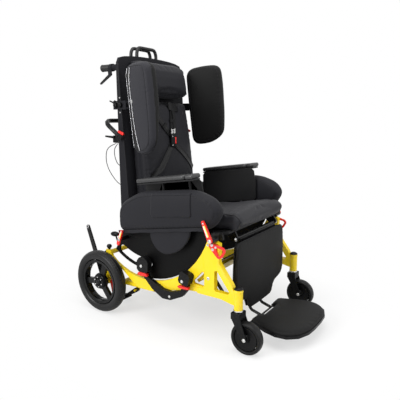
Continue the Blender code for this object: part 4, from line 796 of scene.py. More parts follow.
def make_stage(looks):
    """Camera, sky, lamps and floor."""
    scene = bpy.context.scene
    scene.view_settings.view_transform = "Standard"
    photo_camera(looks)
    plain_background(looks)
    soft_lamp("overhead_lamp", (-0.5, -0.6, 3.4), (0.0, 0.0, 0.4), 2.6, looks.overhead_power)
    soft_lamp("side_lamp", (-3.2, 0.9, 2.0), (0.0, 0.0, 0.6), 1.6, looks.side_power)
    soft_lamp("front_lamp", (0.8, -3.4, 1.7), (0.0, 0.0, 0.6), 1.8, looks.front_power)
    pale_floor()


# Settings, operators and panel
class WHEELCHAIR_Settings(bpy.types.PropertyGroup):
    """Sizes and colours that a user would change."""
    frame_colour: bpy.props.FloatVectorProperty(
        name="Frame colour", description="Paint of the frame", subtype="COLOR", size=3,
        min=0.0, max=1.0, default=(0.875, 0.640, 0.0080))
    upholstery_colour: bpy.props.FloatVectorProperty(
        name="Upholstery colour", description="Knit of the cushions", subtype="COLOR", size=3,
        min=0.0, max=1.0, default=(0.0130, 0.0130, 0.0160))
    metal_colour: bpy.props.FloatVectorProperty(
        name="Black metal colour", description="Coating of the black fittings", subtype="COLOR",
        size=3, min=0.0, max=1.0, default=(0.0060, 0.0060, 0.0065))
    focal_length: bpy.props.FloatProperty(
        name="Focal length", description="Lens of the camera, in millimetres on a 36 mm sensor",
        default=39.29, min=10.0, max=200.0)
    camera_place: bpy.props.FloatVectorProperty(
        name="Camera place", description="Where the camera stands", subtype="TRANSLATION", size=3,
        default=(-1.78608, -1.18673, 0.97006))
    camera_yaw: bpy.props.FloatProperty(
        name="Camera yaw", description="Turn from +X towards +Y, in degrees", default=34.538)
    camera_pitch: bpy.props.FloatProperty(
        name="Camera pitch", description="Degrees below level", default=10.555)
    camera_roll: bpy.props.FloatProperty(
        name="Camera roll", description="Degrees of roll", default=-0.247)
    sky_level: bpy.props.FloatProperty(
        name="Sky level", description="Strength of the even light", default=0.42, min=0.0)
    overhead_power: bpy.props.FloatProperty(
        name="Overhead lamp", description="Power of the lamp above", default=70.0, min=0.0,
        subtype="POWER")
    side_power: bpy.props.FloatProperty(
        name="Side lamp", description="Power of the lamp behind the near side", default=90.0,
        min=0.0, subtype="POWER")
    front_power: bpy.props.FloatProperty(
        name="Front lamp", description="Power of the lamp in front", default=30.0, min=0.0,
        subtype="POWER")


# Upholstery: shapes
def inward_of(outline):
    """Unit directions from a closed flat outline towards its inside."""
    after = np.roll(outline, -1, 0)
    area = np.sum(outline[:, 0] * after[:, 1] - after[:, 0] * outline[:, 1])
    way = unit(after - np.roll(outline, 1, 0))
    return np.stack([-way[:, 1], way[:, 0]], -1) * np.sign(area)


def pad_rings(outline, half, rim, crown=0.0, round_up=None, middle=2, edge=8, top=12):
    """Cushion skin as rings of (a, b, height).

    The outline runs straight up the side, rolls in along a quarter ellipse (rim wide, round_up
    high), then shrinks to its middle while the face rises to its crown as 1 - s squared.
    """
    outline = np.asarray(outline, float)
    round_up = half if round_up is None else round_up
    flat = half - round_up
    phi = np.linspace(0, np.pi / 2, edge + 1)
    reach = rim * (1 - np.cos(phi))
    rolled = outline[None] + inward_of(outline)[None] * reach[:, None, None]
    s = np.linspace(1, 0.04, top)[1:]
    centre = rolled[-1].mean(0)
    face = centre + (rolled[-1] - centre)[None] * s[:, None, None]
    upper = np.concatenate([rolled, face])
    upper_z = np.concatenate([flat + round_up * np.sin(phi), half + crown * (1 - s ** 2)])
    if flat > 0:
        sides = np.linspace(-flat, flat, middle + 2)[1:-1]
        rings = np.concatenate([upper[::-1], np.repeat(outline[None], middle, 0), upper])
        heights = np.concatenate([-upper_z[::-1], sides, upper_z])
    else:
        rings = np.concatenate([upper[:0:-1], upper])
        heights = np.concatenate([-upper_z[:0:-1], upper_z])
    return np.dstack([rings, np.broadcast_to(heights[:, None], rings.shape[:2])])


def quarter(distance, reach):
    """Rise of a quarter circle: 0 at the edge, 1 from the reach on."""
    e = np.clip(distance / reach, 0, 1)
    return np.sqrt(1 - (1 - e) ** 2)


def near_line(points, line):
    """Distance from each point to a sampled line, and the share of the line it is nearest to."""
    points, line = np.asarray(points, float), np.asarray(line, float)
    best = np.full(len(points), np.inf)
    share = np.zeros(len(points))
    for start in range(0, len(points), 4000):
        some = points[start:start + 4000]
        gap = np.linalg.norm(some[:, None] - line[None], axis=2)
        best[start:start + 4000] = gap.min(1)
        share[start:start + 4000] = gap.argmin(1) / max(1, len(line) - 1)
    return best, share


def read_points(mesh):
    """Vertex places as an array."""
    flat = np.empty(len(mesh.vertices) * 3)
    mesh.vertices.foreach_get("co", flat)
    return flat.reshape(-1, 3)


def read_normals(elements):
    """Normals of a mesh's vertices or polygons as an array."""
    flat = np.empty(len(elements) * 3)
    elements.foreach_get("normal", flat)
    return flat.reshape(-1, 3)


def write_points(mesh, points):
    """Vertex places from an array."""
    mesh.vertices.foreach_set("co", np.asarray(points, np.float32).ravel())
    mesh.update()


def apply_all(piece):
    """Modifiers applied to the mesh."""
    graph = bpy.context.evaluated_depsgraph_get()
    mesh = bpy.data.meshes.new_from_object(piece.evaluated_get(graph))
    piece.modifiers.clear()
    piece.data = mesh


def stuff(piece, voxel, cap, seams):
    """Swell a closed skin as stuffed cloth, held at its seams; how far a point moves is capped."""
    remesh = piece.modifiers.new("voxels", "REMESH")
    remesh.mode = "VOXEL"
    remesh.voxel_size = voxel
    remesh.use_smooth_shade = True
    apply_all(piece)
    points = read_points(piece.data)
    held = piece.vertex_groups.new(name="held")
    if len(seams):
        distance = np.min([near_line(points, seam)[0] for seam in seams], axis=0)
        index = np.nonzero(distance < voxel * 0.8)[0]
        held.add(index.tolist(), 1.0, "REPLACE")
    cloth = piece.modifiers.new("stuffing", "CLOTH")
    settings = cloth.settings
    settings.quality = 4
    settings.tension_stiffness = CLOTH_STIFFNESS
    settings.compression_stiffness = CLOTH_STIFFNESS
    settings.shear_stiffness = CLOTH_STIFFNESS * 0.6
    settings.bending_stiffness = 0.4
    settings.use_pressure = True
    settings.uniform_pressure_force = CLOTH_PRESSURE
    settings.effector_weights.gravity = 0.0
    if len(seams):
        settings.vertex_group_mass = "held"
    cloth.collision_settings.use_collision = False
    scene = bpy.context.scene
    for number in range(1, STUFFING_FRAMES + 1):
        scene.frame_set(number)
    graph = bpy.context.evaluated_depsgraph_get()
    move = read_points(piece.evaluated_get(graph).data) - points
    length = np.linalg.norm(move, axis=1, keepdims=True)
    move *= np.minimum(1.0, cap / np.maximum(length, 1e-9))
    piece.modifiers.clear()
    write_points(piece.data, points + move)
    piece.vertex_groups.clear()
    scene.frame_set(1)


def pucker(piece, seams, depth, wave=0.019, reach=0.016):
    """Short gathers beside a seam: a sine along it that dies out with distance."""
    points = read_points(piece.data)
    move = np.zeros(len(points))
    for seam in seams:
        distance, share = near_line(points, seam)
        length = np.linalg.norm(np.diff(seam, axis=0), axis=1).sum()
        phase = 2 * np.pi * share * length / wave
        uneven = 0.6 + 0.4 * np.sin(phase * 0.237 + 1.3)
        gather = depth * np.sin(phase + 0.9 * np.sin(phase * 0.31)) * uneven
        move += gather * np.exp(-(distance / reach) ** 2)
        move -= depth * 1.1 * np.exp(-(distance / (reach * 0.28)) ** 2)
    write_points(piece.data, points + read_normals(piece.data.vertices) * move[:, None])


def creases(piece, lines, depth=0.004, width=0.012):
    """Long soft folds pressed in along lines, with a faint swell on either side."""
    points = read_points(piece.data)
    move = np.zeros(len(points))
    for line in lines:
        distance, share = near_line(points, line)
        fade = np.sin(np.pi * np.clip(share, 0.02, 0.98)) ** 0.6
        move -= depth * fade * (np.exp(-(distance / width) ** 2)
                                - 0.35 * np.exp(-((distance - 2.2 * width) / width) ** 2))
    write_points(piece.data, points + read_normals(piece.data.vertices) * move[:, None])


def settle(piece, path, lift=0.0):
    """Path points brought to the nearest place on a piece, lifted along its normal."""
    found = [piece.closest_point_on_mesh(Vector(p)) for p in np.asarray(path, float)]
    place = np.array([f[1][:] for f in found])
    normal = np.array([f[2][:] for f in found])
    return place + normal * lift


def normals_at(piece, path):
    """Normals of a piece at the places nearest to the points of a path."""
    return np.array([piece.closest_point_on_mesh(Vector(p))[2][:] for p in path])


def cushion(name, rings, place, node, finish, body, seams=(), voxel=0.006, cap=0.009, gathers=0.0010,
            folds=()):
    """Padded piece from its rings: placed, stuffed, gathered along its seams and creased along its
    folds.
    """
    points, faces = rings_solid(rings)
    piece = new_object(name, (place(points), faces), body, finish, SLOT_OF[node], smooth=180.0)
    seams = [np.asarray(seam, float) for seam in seams]
    parent = piece.parent
    piece.parent = None
    stuff(piece, voxel, cap, seams)
    if not len(piece.data.materials):
        piece.data.materials.append(FINISH[finish])
    if seams and gathers:
        pucker(piece, seams, gathers)
    if len(folds):
        creases(piece, folds)
    piece.data.shade_smooth()
    piece.parent = parent
    add_soften(piece, 1)
    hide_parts(node)
    return piece


def piping(name, piece, path, body, radius, closed=True, up=(0.0, 0.0, 1.0)):
    """Round cord sewn into a seam, laid on the cushion."""
    line = settle(piece, path, 0.0002)
    line = even(line, len(line), closed)
    new_object(name, swept(line, circle(radius, 8), up, closed), body, "piping", "black_upholstery",
               smooth=180.0)


def stitched(name, piece, path, body, slot="black_upholstery"):
    """Row of short stitches laid along a path: small flattened beads, evenly spaced."""
    line = settle(piece, path, 0.0003)
    length = np.linalg.norm(np.diff(line, axis=0), axis=1).sum()
    count = max(4, int(length / STITCH))
    spots = even(line, count + 1, False)
    way = unit(np.diff(spots, axis=0))
    middle = (spots[1:] + spots[:-1]) / 2
    bead = np.array([[-0.36, 0, 0], [0, 0.13, 0], [0, 0, 0.13], [0, -0.13, 0], [0, 0, -0.13],
                     [0.36, 0, 0]]) * STITCH
    side = unit(np.cross(way, np.array([0.31, 0.52, 0.79])))
    rise = np.cross(side, way)
    points = (middle[:, None] + bead[None, :, :1] * way[:, None] + bead[None, :, 1:2] * side[:, None]
              + bead[None, :, 2:] * rise[:, None]).reshape(-1, 3)
    one = np.array([[0, 1, 2], [0, 2, 3], [0, 3, 4], [0, 4, 1], [5, 2, 1], [5, 3, 2], [5, 4, 3],
                    [5, 1, 4]])
    faces = (one[None] + 6 * np.arange(len(middle))[:, None, None]).reshape(-1, 3).tolist()
    new_object(name, (points, faces), body, "stitching", slot, smooth=180.0)


# Upholstery: seat
def seat_side_view():
    """Side outline of the seat cushion in the seat plane: (distance from the front, height)."""
    corners = [(0.010, 0.002), (0.545, 0.002), (0.549, 0.052), (0.470, 0.064), (0.200, 0.062),
               (0.030, 0.069), (-0.006, 0.066), (-0.031, 0.046), (-0.036, 0.028), (-0.016, 0.003)]
    return smooth_line(rounded(corners, 0.012, 4), 220, True)


def make_seat():
    """Seat cushion with a rolled front and a slight dish."""
    outline = seat_side_view()
    rings = pad_rings(outline, SEAT_HALF, 0.026, 0.0, 0.026, middle=34, edge=7, top=7)

    def dish(points):
        x, y, z = points.T
        across = np.clip(x / SEAT_HALF, -1, 1)
        top = np.clip((z - 0.020) / 0.045, 0, 1)
        hollow = 0.008 * np.exp(-((y - 0.36) / 0.13) ** 2 - (across / 0.6) ** 2)
        z = z + top * (0.006 * (1 - across ** 2) - hollow)
        x = x * (1 - 0.030 * np.sin(np.pi * np.clip(y / 0.54, 0, 1)))
        return np.stack([x, y, z], -1)

    def place(points):
        local = np.stack([points[..., 2], points[..., 0], points[..., 1]], -1)
        return on_seat(dish(local.reshape(-1, 3)).reshape(local.shape))

    side_seams = [place(np.column_stack([outline, np.full(len(outline), way * 0.2145)]))
                  for way in (-1, 1)]
    front = on_seat(np.column_stack([np.linspace(-0.215, 0.215, 60), np.full(60, -0.0300),
                                     np.full(60, 0.004)]))
    folds = [on_seat(smooth_line([(side * 0.210, 0.020, 0.068), (side * 0.150, 0.014, 0.070),
                                  (side * 0.085, 0.024, 0.070)], 20)) for side in (-1, 1)]
    piece = cushion("seat_cover", rings, place, "seat_cushion", "seat_upholstery", "seat",
                    side_seams + [front], 0.006, 0.007, folds=folds)
    for way, seam in zip(("right", "left"), side_seams):
        piping("seat_piping_" + way, piece, seam, "seat", 0.0020)
    stitched("seat_front_stitches", piece, front, "seat")


def side_outline():
    """Side cushion outline in the seat plane, smoothed: (distance from the front, height)."""
    corners = [(0.592, 0.007), (0.572, 0.146), (0.430, 0.199), (0.115, 0.190), (0.026, 0.146),
               (-0.006, 0.090), (0.050, 0.018)]
    return even(rounded(corners, 0.055, 8), 200, True)


POCKET = ((-0.346, 0.650), (-0.562, 0.672), (-0.568, 0.561), (-0.346, 0.535))
HALF_MOON = ((-0.325, 0.505), (-0.327, 0.425), (-0.365, 0.380), (-0.415, 0.365), (-0.490, 0.391),
             (-0.545, 0.452), (-0.560, 0.520))


def patch_grid(corners, rows=30, columns=44, corner=0.010):
    """Grid over four corners; its two lower corners are drawn in to a round."""
    a, b, c, d = (np.asarray(p, float) for p in corners)
    u = np.linspace(0, 1, columns)[None, :, None]
    v = np.linspace(0, 1, rows)[:, None, None]
    flat = (a * (1 - u) + b * u) * (1 - v) + (d * (1 - u) + c * u) * v
    width = np.linalg.norm(b - a)
    end = np.clip((v - 0.9) / 0.1, 0, 1) ** 2
    return flat + (0.5 - u) * end * (b - a) * 2 * corner / width


def cloth_patch(name, grid, target, body, finish, slot, lift, thick, soft=0.0):
    """Sewn-on patch: a grid laid on a cushion, then given its thickness."""
    rows, columns = grid.shape[:2]
    piece = new_object(name, (grid.reshape(-1, 3), lattice(rows, columns, False, False).tolist()), body,
                       finish, slot, smooth=180.0)
    wrap = piece.modifiers.new("lay", "SHRINKWRAP")
    wrap.target = target
    wrap.wrap_method = "NEAREST_SURFACEPOINT"
    wrap.wrap_mode = "ABOVE_SURFACE"
    wrap.offset = lift
    apply_all(piece)
    if soft:
        u = np.linspace(0, 1, columns)[None, :]
        v = np.linspace(0, 1, rows)[:, None]
        points = read_points(piece.data)
        normals = read_normals(piece.data.vertices)
        bulge = soft * (np.sin(np.pi * u) ** 0.5 * np.sin(np.pi * v) ** 0.5
                        + 0.25 * np.sin(9 * u + 3 * v) * np.sin(np.pi * u) * v)
        way = np.sign(np.sum(normals[:, 0]) * points[:, 0].mean()) or 1.0
        write_points(piece.data, points + way * normals * bulge.reshape(-1, 1))
    wall = piece.modifiers.new("thickness", "SOLIDIFY")
    wall.thickness = thick
    wall.offset = 0.0
    apply_all(piece)
    piece.data.shade_smooth()
    return piece


def make_pocket(tag, corners, piece):
    """Pocket on a side cushion, with a hem along its foot and a band along its top."""
    top_a, top_b, low_b, low_a = corners
    pocket = cloth_patch("side_pocket_" + tag, patch_grid(corners), piece, "seat", "upholstery",
                         "black_upholstery", 0.0016, 0.0016, 0.0022)
    low = [low_a * 0.84 + top_a * 0.16, low_b * 0.84 + top_b * 0.16, low_b, low_a]
    cloth_patch("side_pocket_hem_" + tag, patch_grid(low, 8, 44, 0.004), pocket, "seat", "piping",
                "black_upholstery", 0.0012, 0.0014)
    top = [top_a, top_b, top_b * 0.86 + low_b * 0.14, top_a * 0.86 + low_a * 0.14]
    cloth_patch("side_pocket_top_" + tag, patch_grid(top, 8, 44, 0.003), pocket, "seat", "upholstery",
                "black_upholstery", 0.0012, 0.0012)


def make_side_hem(side, tag):
    """Hem of cloth that hangs under a side cushion, waved a little along its length."""
    y = np.linspace(0.076, 0.582, 120)[None, :]
    drop = np.linspace(0.0, 1.0, 9)[:, None]
    base = np.interp(y, (0.05, 0.592), (0.020, 0.0085))
    hang = base + 0.012 - 0.015 * drop + 0.0012 * drop * np.sin(y * 61.0)
    hem = np.stack([side * (0.3262 + 0.0012 * drop * np.sin(y * 43.0 + 1.0)), y + 0 * drop, hang], -1)
    new_object("side_hem_" + tag, sheet(on_seat(hem), 0.0022), "seat", "upholstery", "black_upholstery",
               smooth=60.0)


def make_half_moon(side, tag):
    """Padded half-moon flap that hangs under a side cushion, with a stitched rim."""
    flap = even(rounded(HALF_MOON, 0.045, 6), 120, True)
    rings = pad_rings(flap, 0.0065, 0.006, 0.0015, edge=5, top=10)
    at = side * (SIDE_OUTER - 0.018)
    points, faces = rings_solid(np.stack([np.full(rings.shape[:2], at) + rings[..., 2], rings[..., 0],
                                          rings[..., 1]], -1))
    moon = new_object("half_moon_" + tag, (at_axle(points), faces), "seat", "upholstery",
                      "black_upholstery", smooth=180.0)
    stitched("half_moon_stitches_" + tag, moon, across_x(flap[10:90], at + side * 0.0075), "seat")


def make_side(side, tag):
    """Side cushion with its pocket, hem and the half-moon flap under it."""
    outline = side_outline()
    half = (SIDE_OUTER - SIDE_INNER) / 2
    rings = pad_rings(outline, half - 0.003, 0.030, 0.0035, edge=9, top=14)
    middle = side * (SIDE_OUTER + SIDE_INNER) / 2

    def place(points):
        return on_seat(np.stack([middle + points[..., 2], points[..., 0], points[..., 1]], -1))

    drawn_in = outline + inward_of(outline) * 0.021
    seams = [place(np.column_stack([drawn_in, np.full(len(outline), way * (half - 0.006))]))
             for way in (-1, 1)]
    piece = cushion("side_cover_" + tag, rings, place, "side_bolster_" + tag, "upholstery", "seat",
                    seams,
                    0.006, 0.006, 0.0009)
    outer, inner = seams if side < 0 else seams[::-1]
    piping("side_piping_out_" + tag, piece, outer, "seat", 0.0015)
    piping("side_piping_in_" + tag, piece, inner, "seat", 0.0015)
    make_pocket(tag, [at_axle((side * 0.3315, *p)) for p in POCKET], piece)
    make_side_hem(side, tag)
    make_half_moon(side, tag)


def make_sides():
    """Both side cushions."""
    for side, tag in SIDES:
        make_side(side, tag)


# Upholstery: back, head and wings
def panel_face(z):
    """Front face of the back panel at a height, in the rear-axle frame."""
    return -0.1400 + 0.0500 * (z - 0.450) / 0.825


def back_front(x, z):
    """Front of the back cushion: leans back upward and is crowned across."""
    share = (z - 0.525) / 0.540
    crown = 1 - np.minimum(1.0, np.abs(x) / 0.196) ** 2.2
    return (-0.2200 + 0.0640 * np.clip(share, 0, 2) ** 1.7
            - 0.0300 * crown * (0.75 + 0.25 * np.sin(np.pi * share)))


def section_rings(heights, half, depth, side_round, end_round, levels):
    """Horizontal rings of a pad on the back panel: flat behind, rounded at sides and ends."""
    z0, z1 = heights
    w = (1 - np.cos(np.linspace(0, np.pi, levels))) / 2
    z = z0 + (z1 - z0) * w
    fill = quarter(np.minimum(z - z0, z1 - z), end_round)
    rings = []
    span = np.sin(np.linspace(-np.pi / 2, np.pi / 2, 64))
    for level, full in zip(z, fill):
        wide = half * (0.95 + 0.05 * full)
        x = span * wide
        rear = panel_face(level) - 0.0006
        front = rear + (depth(x, level) - rear) * full * quarter(wide - np.abs(x), side_round)
        ring = [np.stack([x, front, np.full(64, level)], -1)]
        back = np.linspace(wide, -wide, 26)[1:-1]
        ring.append(np.stack([back, np.full(24, rear), np.full(24, level)], -1))
        rings.append(np.vstack(ring))
    return np.array(rings)


def make_back():
    """Back cushion with its sewn edge."""
    def depth(x, z):
        return back_front(x * 0.98, z) + 0.003 - 0.017 * np.abs(x / 0.1945) ** 4

    def fold(*knots):
        return at_axle(smooth_line([(x, back_front(at, level), z) for x, at, level, z in knots], 24))

    rings = section_rings((0.528, 1.062), 0.1945, depth, 0.024, 0.030, 90)
    z = np.linspace(0.556, 1.034, 50)
    x = np.linspace(-0.183, 0.183, 40)
    edge = [at_axle(np.column_stack([np.full(50, way * 0.183), back_front(0.183, z) + 0.006, z]))
            for way in (-1, 1)]
    across = [at_axle(np.column_stack([x, back_front(x, level) + 0.006, np.full(40, level)]))
              for level in (0.556, 1.034)]
    folds = [fold((-0.160, -0.16, 0.70, 0.700), (-0.100, -0.10, 0.76, 0.775),
                  (-0.040, -0.04, 0.83, 0.835)),
             fold((-0.176, -0.176, 0.66, 0.650), (-0.125, -0.12, 0.72, 0.722),
                  (-0.080, -0.08, 0.78, 0.790))]
    piece = cushion("back_cover", rings, at_axle, "back_cushion", "upholstery", "back", edge, 0.006,
                    0.007,
                    folds=folds)
    for name, line in zip(("right", "left", "low", "top"), edge + across):
        stitched("back_stitches_" + name, piece, line, "back")


def make_head():
    """Head pad, fuller at its lower edge."""
    def depth(x, z):
        k = np.clip(np.abs(x) / 0.176, 0, 1)
        body = np.interp(z, (1.076, 1.100, 1.130, 1.170, 1.215, 1.235),
                         (0.102, 0.107, 0.106, 0.101, 0.090, 0.074))
        return panel_face(z) - body * (1 - 0.05 * k ** 2.5)

    rings = section_rings((1.074, 1.246), 0.1745, depth, 0.028, 0.026, 60)
    seam = at_axle(np.column_stack([np.linspace(-0.170, 0.170, 60), np.full(60, panel_face(1.1) - 0.093),
                                    np.full(60, 1.101)]))
    piece = cushion("head_cover", rings, at_axle, "head_cushion", "upholstery", "back", [seam], 0.005,
                    0.006)
    piping("head_piping", piece, seam, "back", 0.0014, closed=False)


WING_SIDE = ((0.006, -0.200), (0.120, -0.206), (0.188, -0.168), (0.200, -0.060), (0.206, 0.120),
             (0.200, 0.205), (0.120, 0.217), (0.006, 0.214))
WING_TILT = {-1: (-0.004, -0.075, 0.0), 1: (0.012, 0.050, 0.100)}


def wing_set(side, points):
    """Wing points in space: each wing is set at its own height and tilt, and thins downward.

    Height changes by a + x (b up + c down), where up and down are the shares of the way to the
    top and bottom; the inner face comes in as the 1.2th power of the way down.
    """
    x, y, z = (points[..., n] for n in range(3))
    low = np.clip((0.02 - z) / 0.22, 0, 1)
    deep = y * -side
    deep = deep + 0.010 + np.clip(deep / 0.035, 0, 1) * (0.010 - 0.034 * low ** 1.2)
    lift, above, below = WING_TILT[side]
    turn = above * np.clip(z / 0.2, 0, 1) + below * np.clip(-z / 0.2, 0, 1)
    return on_wing(side, np.stack([x, deep * -side, z + lift + x * turn], -1))


ZIP_LINES = (((0.196, 0.046), (0.150, 0.020), (0.080, 0.016), (0.0, 0.020), (-0.190, 0.014)),
             ((0.196, 0.070), (0.150, 0.056), (0.080, 0.054), (0.0, 0.052), (-0.190, 0.076)))


def make_wing(side, tag):
    """Wing cushion: thick at its head end, with sewn edges and two zips on the outer face."""
    half = 0.0330
    body = "wing_" + tag
    outline = even(rounded(WING_SIDE, 0.055, 10), 190, True)
    rings = pad_rings(outline, half - 0.003, 0.026, 0.0035, edge=9, top=12)[..., [0, 2, 1]]

    def place(points):
        return wing_set(side, points)

    small = even(outline + inward_of(outline) * 0.017, 170, True)
    seams = [place(np.column_stack([small[:, 0], np.full(len(small), way * (half - 0.004)),
                                    small[:, 1]]))
             for way in (-1, 1)]
    piece = cushion("wing_cover_" + tag, rings, place, "wing_cushion_" + tag, "lit_wing_upholstery", body,
                    seams,
                    0.006, 0.006)
    # Painted shade: the wing faces towards the head get the darker copy of the cloth.
    paint_inner_shade(piece, side)
    for name, seam in zip(("a", "b"), seams):
        piping("wing_piping_" + name + "_" + tag, piece, seam, body, 0.0013)
    z = np.linspace(0.196, -0.190, 90)
    tracks = []
    for index, knots in enumerate(np.array(ZIP_LINES)):
        x = np.interp(z, knots[::-1, 0], knots[::-1, 1])
        x = np.convolve(np.pad(x, 8, mode="edge"), np.ones(17) / 17, mode="valid")
        x = x + 0.0016 * np.sin(z * 34 + index)
        tracks.append(place(np.column_stack([x, np.full(len(z), side * 0.036), z])))
        zip_strip("wing_zip_" + "ab"[index] + "_" + tag, piece, tracks[-1], body)
    share = np.linspace(0.0, 1.0, 9)[None, :, None]
    cloth_patch("wing_strip_" + tag, tracks[0][:, None] * (1 - share) + tracks[1][:, None] * share,
                piece,
                body, "web", "black_upholstery", 0.0003, 0.0007)


def paint_inner_shade(piece, side):
    """Paint shade on the faces of a wing that look towards the head: they get the darker copy of the
    cloth.
    """
    mesh = piece.data
    mesh.materials.append(FINISH["dark_upholstery"])
    inward = on_wing(side, np.array([0.0, -side, 0.0])) - on_wing(side, np.zeros(3))
    looks_in = read_normals(mesh.polygons) @ inward > 0.10
    mesh.polygons.foreach_set("material_index", looks_in.astype(np.int32))


def zip_strip(name, piece, track, body):
    """Zip: a flat tape with a bright ribbed coil along its middle, and a pull."""
    line = settle(piece, track, 0.0004)
    flat = np.array([[-0.0075, -0.0004], [0.0075, -0.0004], [0.0075, 0.0005], [-0.0075, 0.0005]])
    up = normals_at(piece, line)
    new_object(name + "_tape", swept(line, flat, up), body, "web", "black_upholstery", smooth=30.0)
    steps = 420

    def finer(values):
        return np.stack([np.interp(np.linspace(0, 1, steps), np.linspace(0, 1, len(line)), values[:, n])
                         for n in range(3)], -1)

    fine, fine_up = finer(line), unit(finer(up))
    ripple = 1 + 0.22 * np.where(np.arange(steps) % 2 == 0, 1, -1)
    section = np.array([[0.0015, 0.0], [0.0011, 0.0012], [0.0, 0.0016], [-0.0011, 0.0012],
                        [-0.0015, 0.0],
                        [0.0, -0.0006]])
    section = section[None] * ripple[:, None, None]
    new_object(name + "_coil", swept(fine + fine_up * 0.0006, section, fine_up), body, "zip_coil",
               "steel", smooth=60.0)
    grip, rise = fine[30], fine_up[30]
    way = unit(fine[31] - grip)
    side_way = unit(np.cross(way, rise))
    pull = [grip + way * a + side_way * b + rise * 0.0026 for a, b in
            ((0.0, -0.003), (0.0, 0.003), (0.012, 0.0022), (0.015, 0.0), (0.012, -0.0022))]
    new_object(name + "_pull", slab(pull, 0.0012, rise), body, "zinc", "steel", edge=0.0002)


def make_wings():
    """Both wing cushions with their zips."""
    new_finish("zip_coil", (0.62, 0.62, 0.64), 0.20, "brushed", 300.0, 0.00001, 0.30, metallic=1.0,
               dust=0.0)
    for side, tag in SIDES:
        make_wing(side, tag)


# Upholstery: leg rest and footplate
def make_calf():
    """Calf pad with a sewn edge."""
    half = [(0.210, 0.451), (0.232, 0.434), (0.241, 0.330), (0.245, 0.236), (0.230, 0.192),
            (0.200, 0.178),
            (0.146, 0.172), (0.128, 0.160), (0.120, 0.128), (0.108, 0.113)]
    loop = [(-x, z) for x, z in half] + half[::-1]
    outline = even(rounded(loop, 0.012, 5), 200, True)
    rings = pad_rings(outline, 0.0095, 0.009, 0.0025, edge=7, top=16)

    def place(points):
        return at_axle(np.stack([points[..., 0], -0.734 + points[..., 2], points[..., 1]], -1))

    inner = even(rounded([(x * 0.955, 0.285 + (z - 0.285) * 0.945) for x, z in loop], 0.012, 5), 180,
                 True)
    seam = place(np.column_stack([inner, np.full(len(inner), -0.0105)]))
    piece = cushion("calf_cover", rings, place, "calf_pad", "dark_upholstery", "legrest", [seam], 0.005,
                    0.004,
                    0.0007)
    rim = place(np.column_stack([outline, np.full(len(outline), -0.0040)]))
    piping("calf_piping", piece, rim, "legrest", 0.0013, up=(0.0, 1.0, 0.0))


def make_foot():
    """Footplate cover: wraps the board's edge, slightly crowned."""
    half = [(0.0720, -0.7850), (0.0720, -0.7610), (0.152, -0.7610), (0.162, -0.8000), (0.186, -0.8500),
            (0.200, -0.9050), (0.193, -0.9550), (0.158, -0.9960), (0.100, -1.0190), (0.040, -1.0240)]
    loop = half + [(-x, y) for x, y in half[::-1]]
    outline = even(rounded(loop, 0.030, 6), 200, True)
    rings = pad_rings(outline, 0.0105, 0.0075, 0.0016, edge=8, top=16)

    def place(points):
        return at_axle(np.stack([points[..., 0], points[..., 1], 0.0722 + points[..., 2]], -1))

    piece = cushion("foot_cover", rings, place, "foot_pad", "dark_upholstery", "footplate", (), 0.005,
                    0.0035,
                    0.0)
    inner = even(rounded([(x * 0.93, -0.890 + (y + 0.890) * 0.93) for x, y in loop], 0.028, 6), 180,
                 True)
    stitched("foot_stitches", piece, place(np.column_stack([inner, np.full(len(inner), 0.012)])),
             "footplate")


# Harness and arm pads
def band(path, normals, half, thick):
    """Flat strap along a path: a thin section with rounded edges, its face along the normals."""
    shares = np.array([[-1.0, -0.3], [-0.985, -0.5], [0.985, -0.5], [1.0, -0.3], [1.0, 0.3],
                       [0.985, 0.5],
                       [0.88, 0.5], [0.84, 0.36], [-0.84, 0.36], [-0.88, 0.5], [-0.985, 0.5],
                       [-1.0, 0.3]])
    return swept(path, shares * np.array([half, thick]), normals)


def strap_path(piece, knots, count, lift):
    """Strap's middle line on the face of the back cushion, and the face's normals, smoothed."""
    flat = smooth_line(knots, count)
    start = at_axle(np.column_stack([flat[:, 0], back_front(flat[:, 0], flat[:, 1]) - 0.03, flat[:, 1]]))
    place = settle(piece, start)
    found = normals_at(piece, start)
    for _ in range(6):
        for line in (place, found):
            line[1:-1] = (line[:-2] + 2 * line[1:-1] + line[2:]) / 4
    found = unit(found)
    return place + found * lift, found


def harness_straps(cover):
    """Chest straps from the sides and the collar to the buckle."""
    parts = []
    for knots, half, lift in (
            ([(-0.008, 0.886), (-0.002, 0.930), (0.010, 0.975), (0.020, 1.022)], 0.0150, 0.0035),
            ([(0.002, 0.884), (0.016, 0.930), (0.024, 0.975), (0.030, 1.020)], 0.0110, 0.0065),
            ([(-0.018, 0.890), (-0.052, 0.926), (-0.082, 0.966), (-0.112, 1.010)], 0.0145, 0.0035),
            ([(0.004, 0.846), (0.072, 0.796), (0.140, 0.742), (0.178, 0.708)], 0.0145, 0.0035),
            ([(-0.024, 0.846), (-0.085, 0.780), (-0.140, 0.722), (-0.178, 0.688)], 0.0145, 0.0030)):
        path, normals = strap_path(cover, knots, 46, lift)
        parts.append(band(path, normals, half, 0.0026))
    straps = new_object("harness_straps", together(parts), "back", "web", SLOT_OF["harness"],
                        smooth=35.0)
    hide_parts("harness")


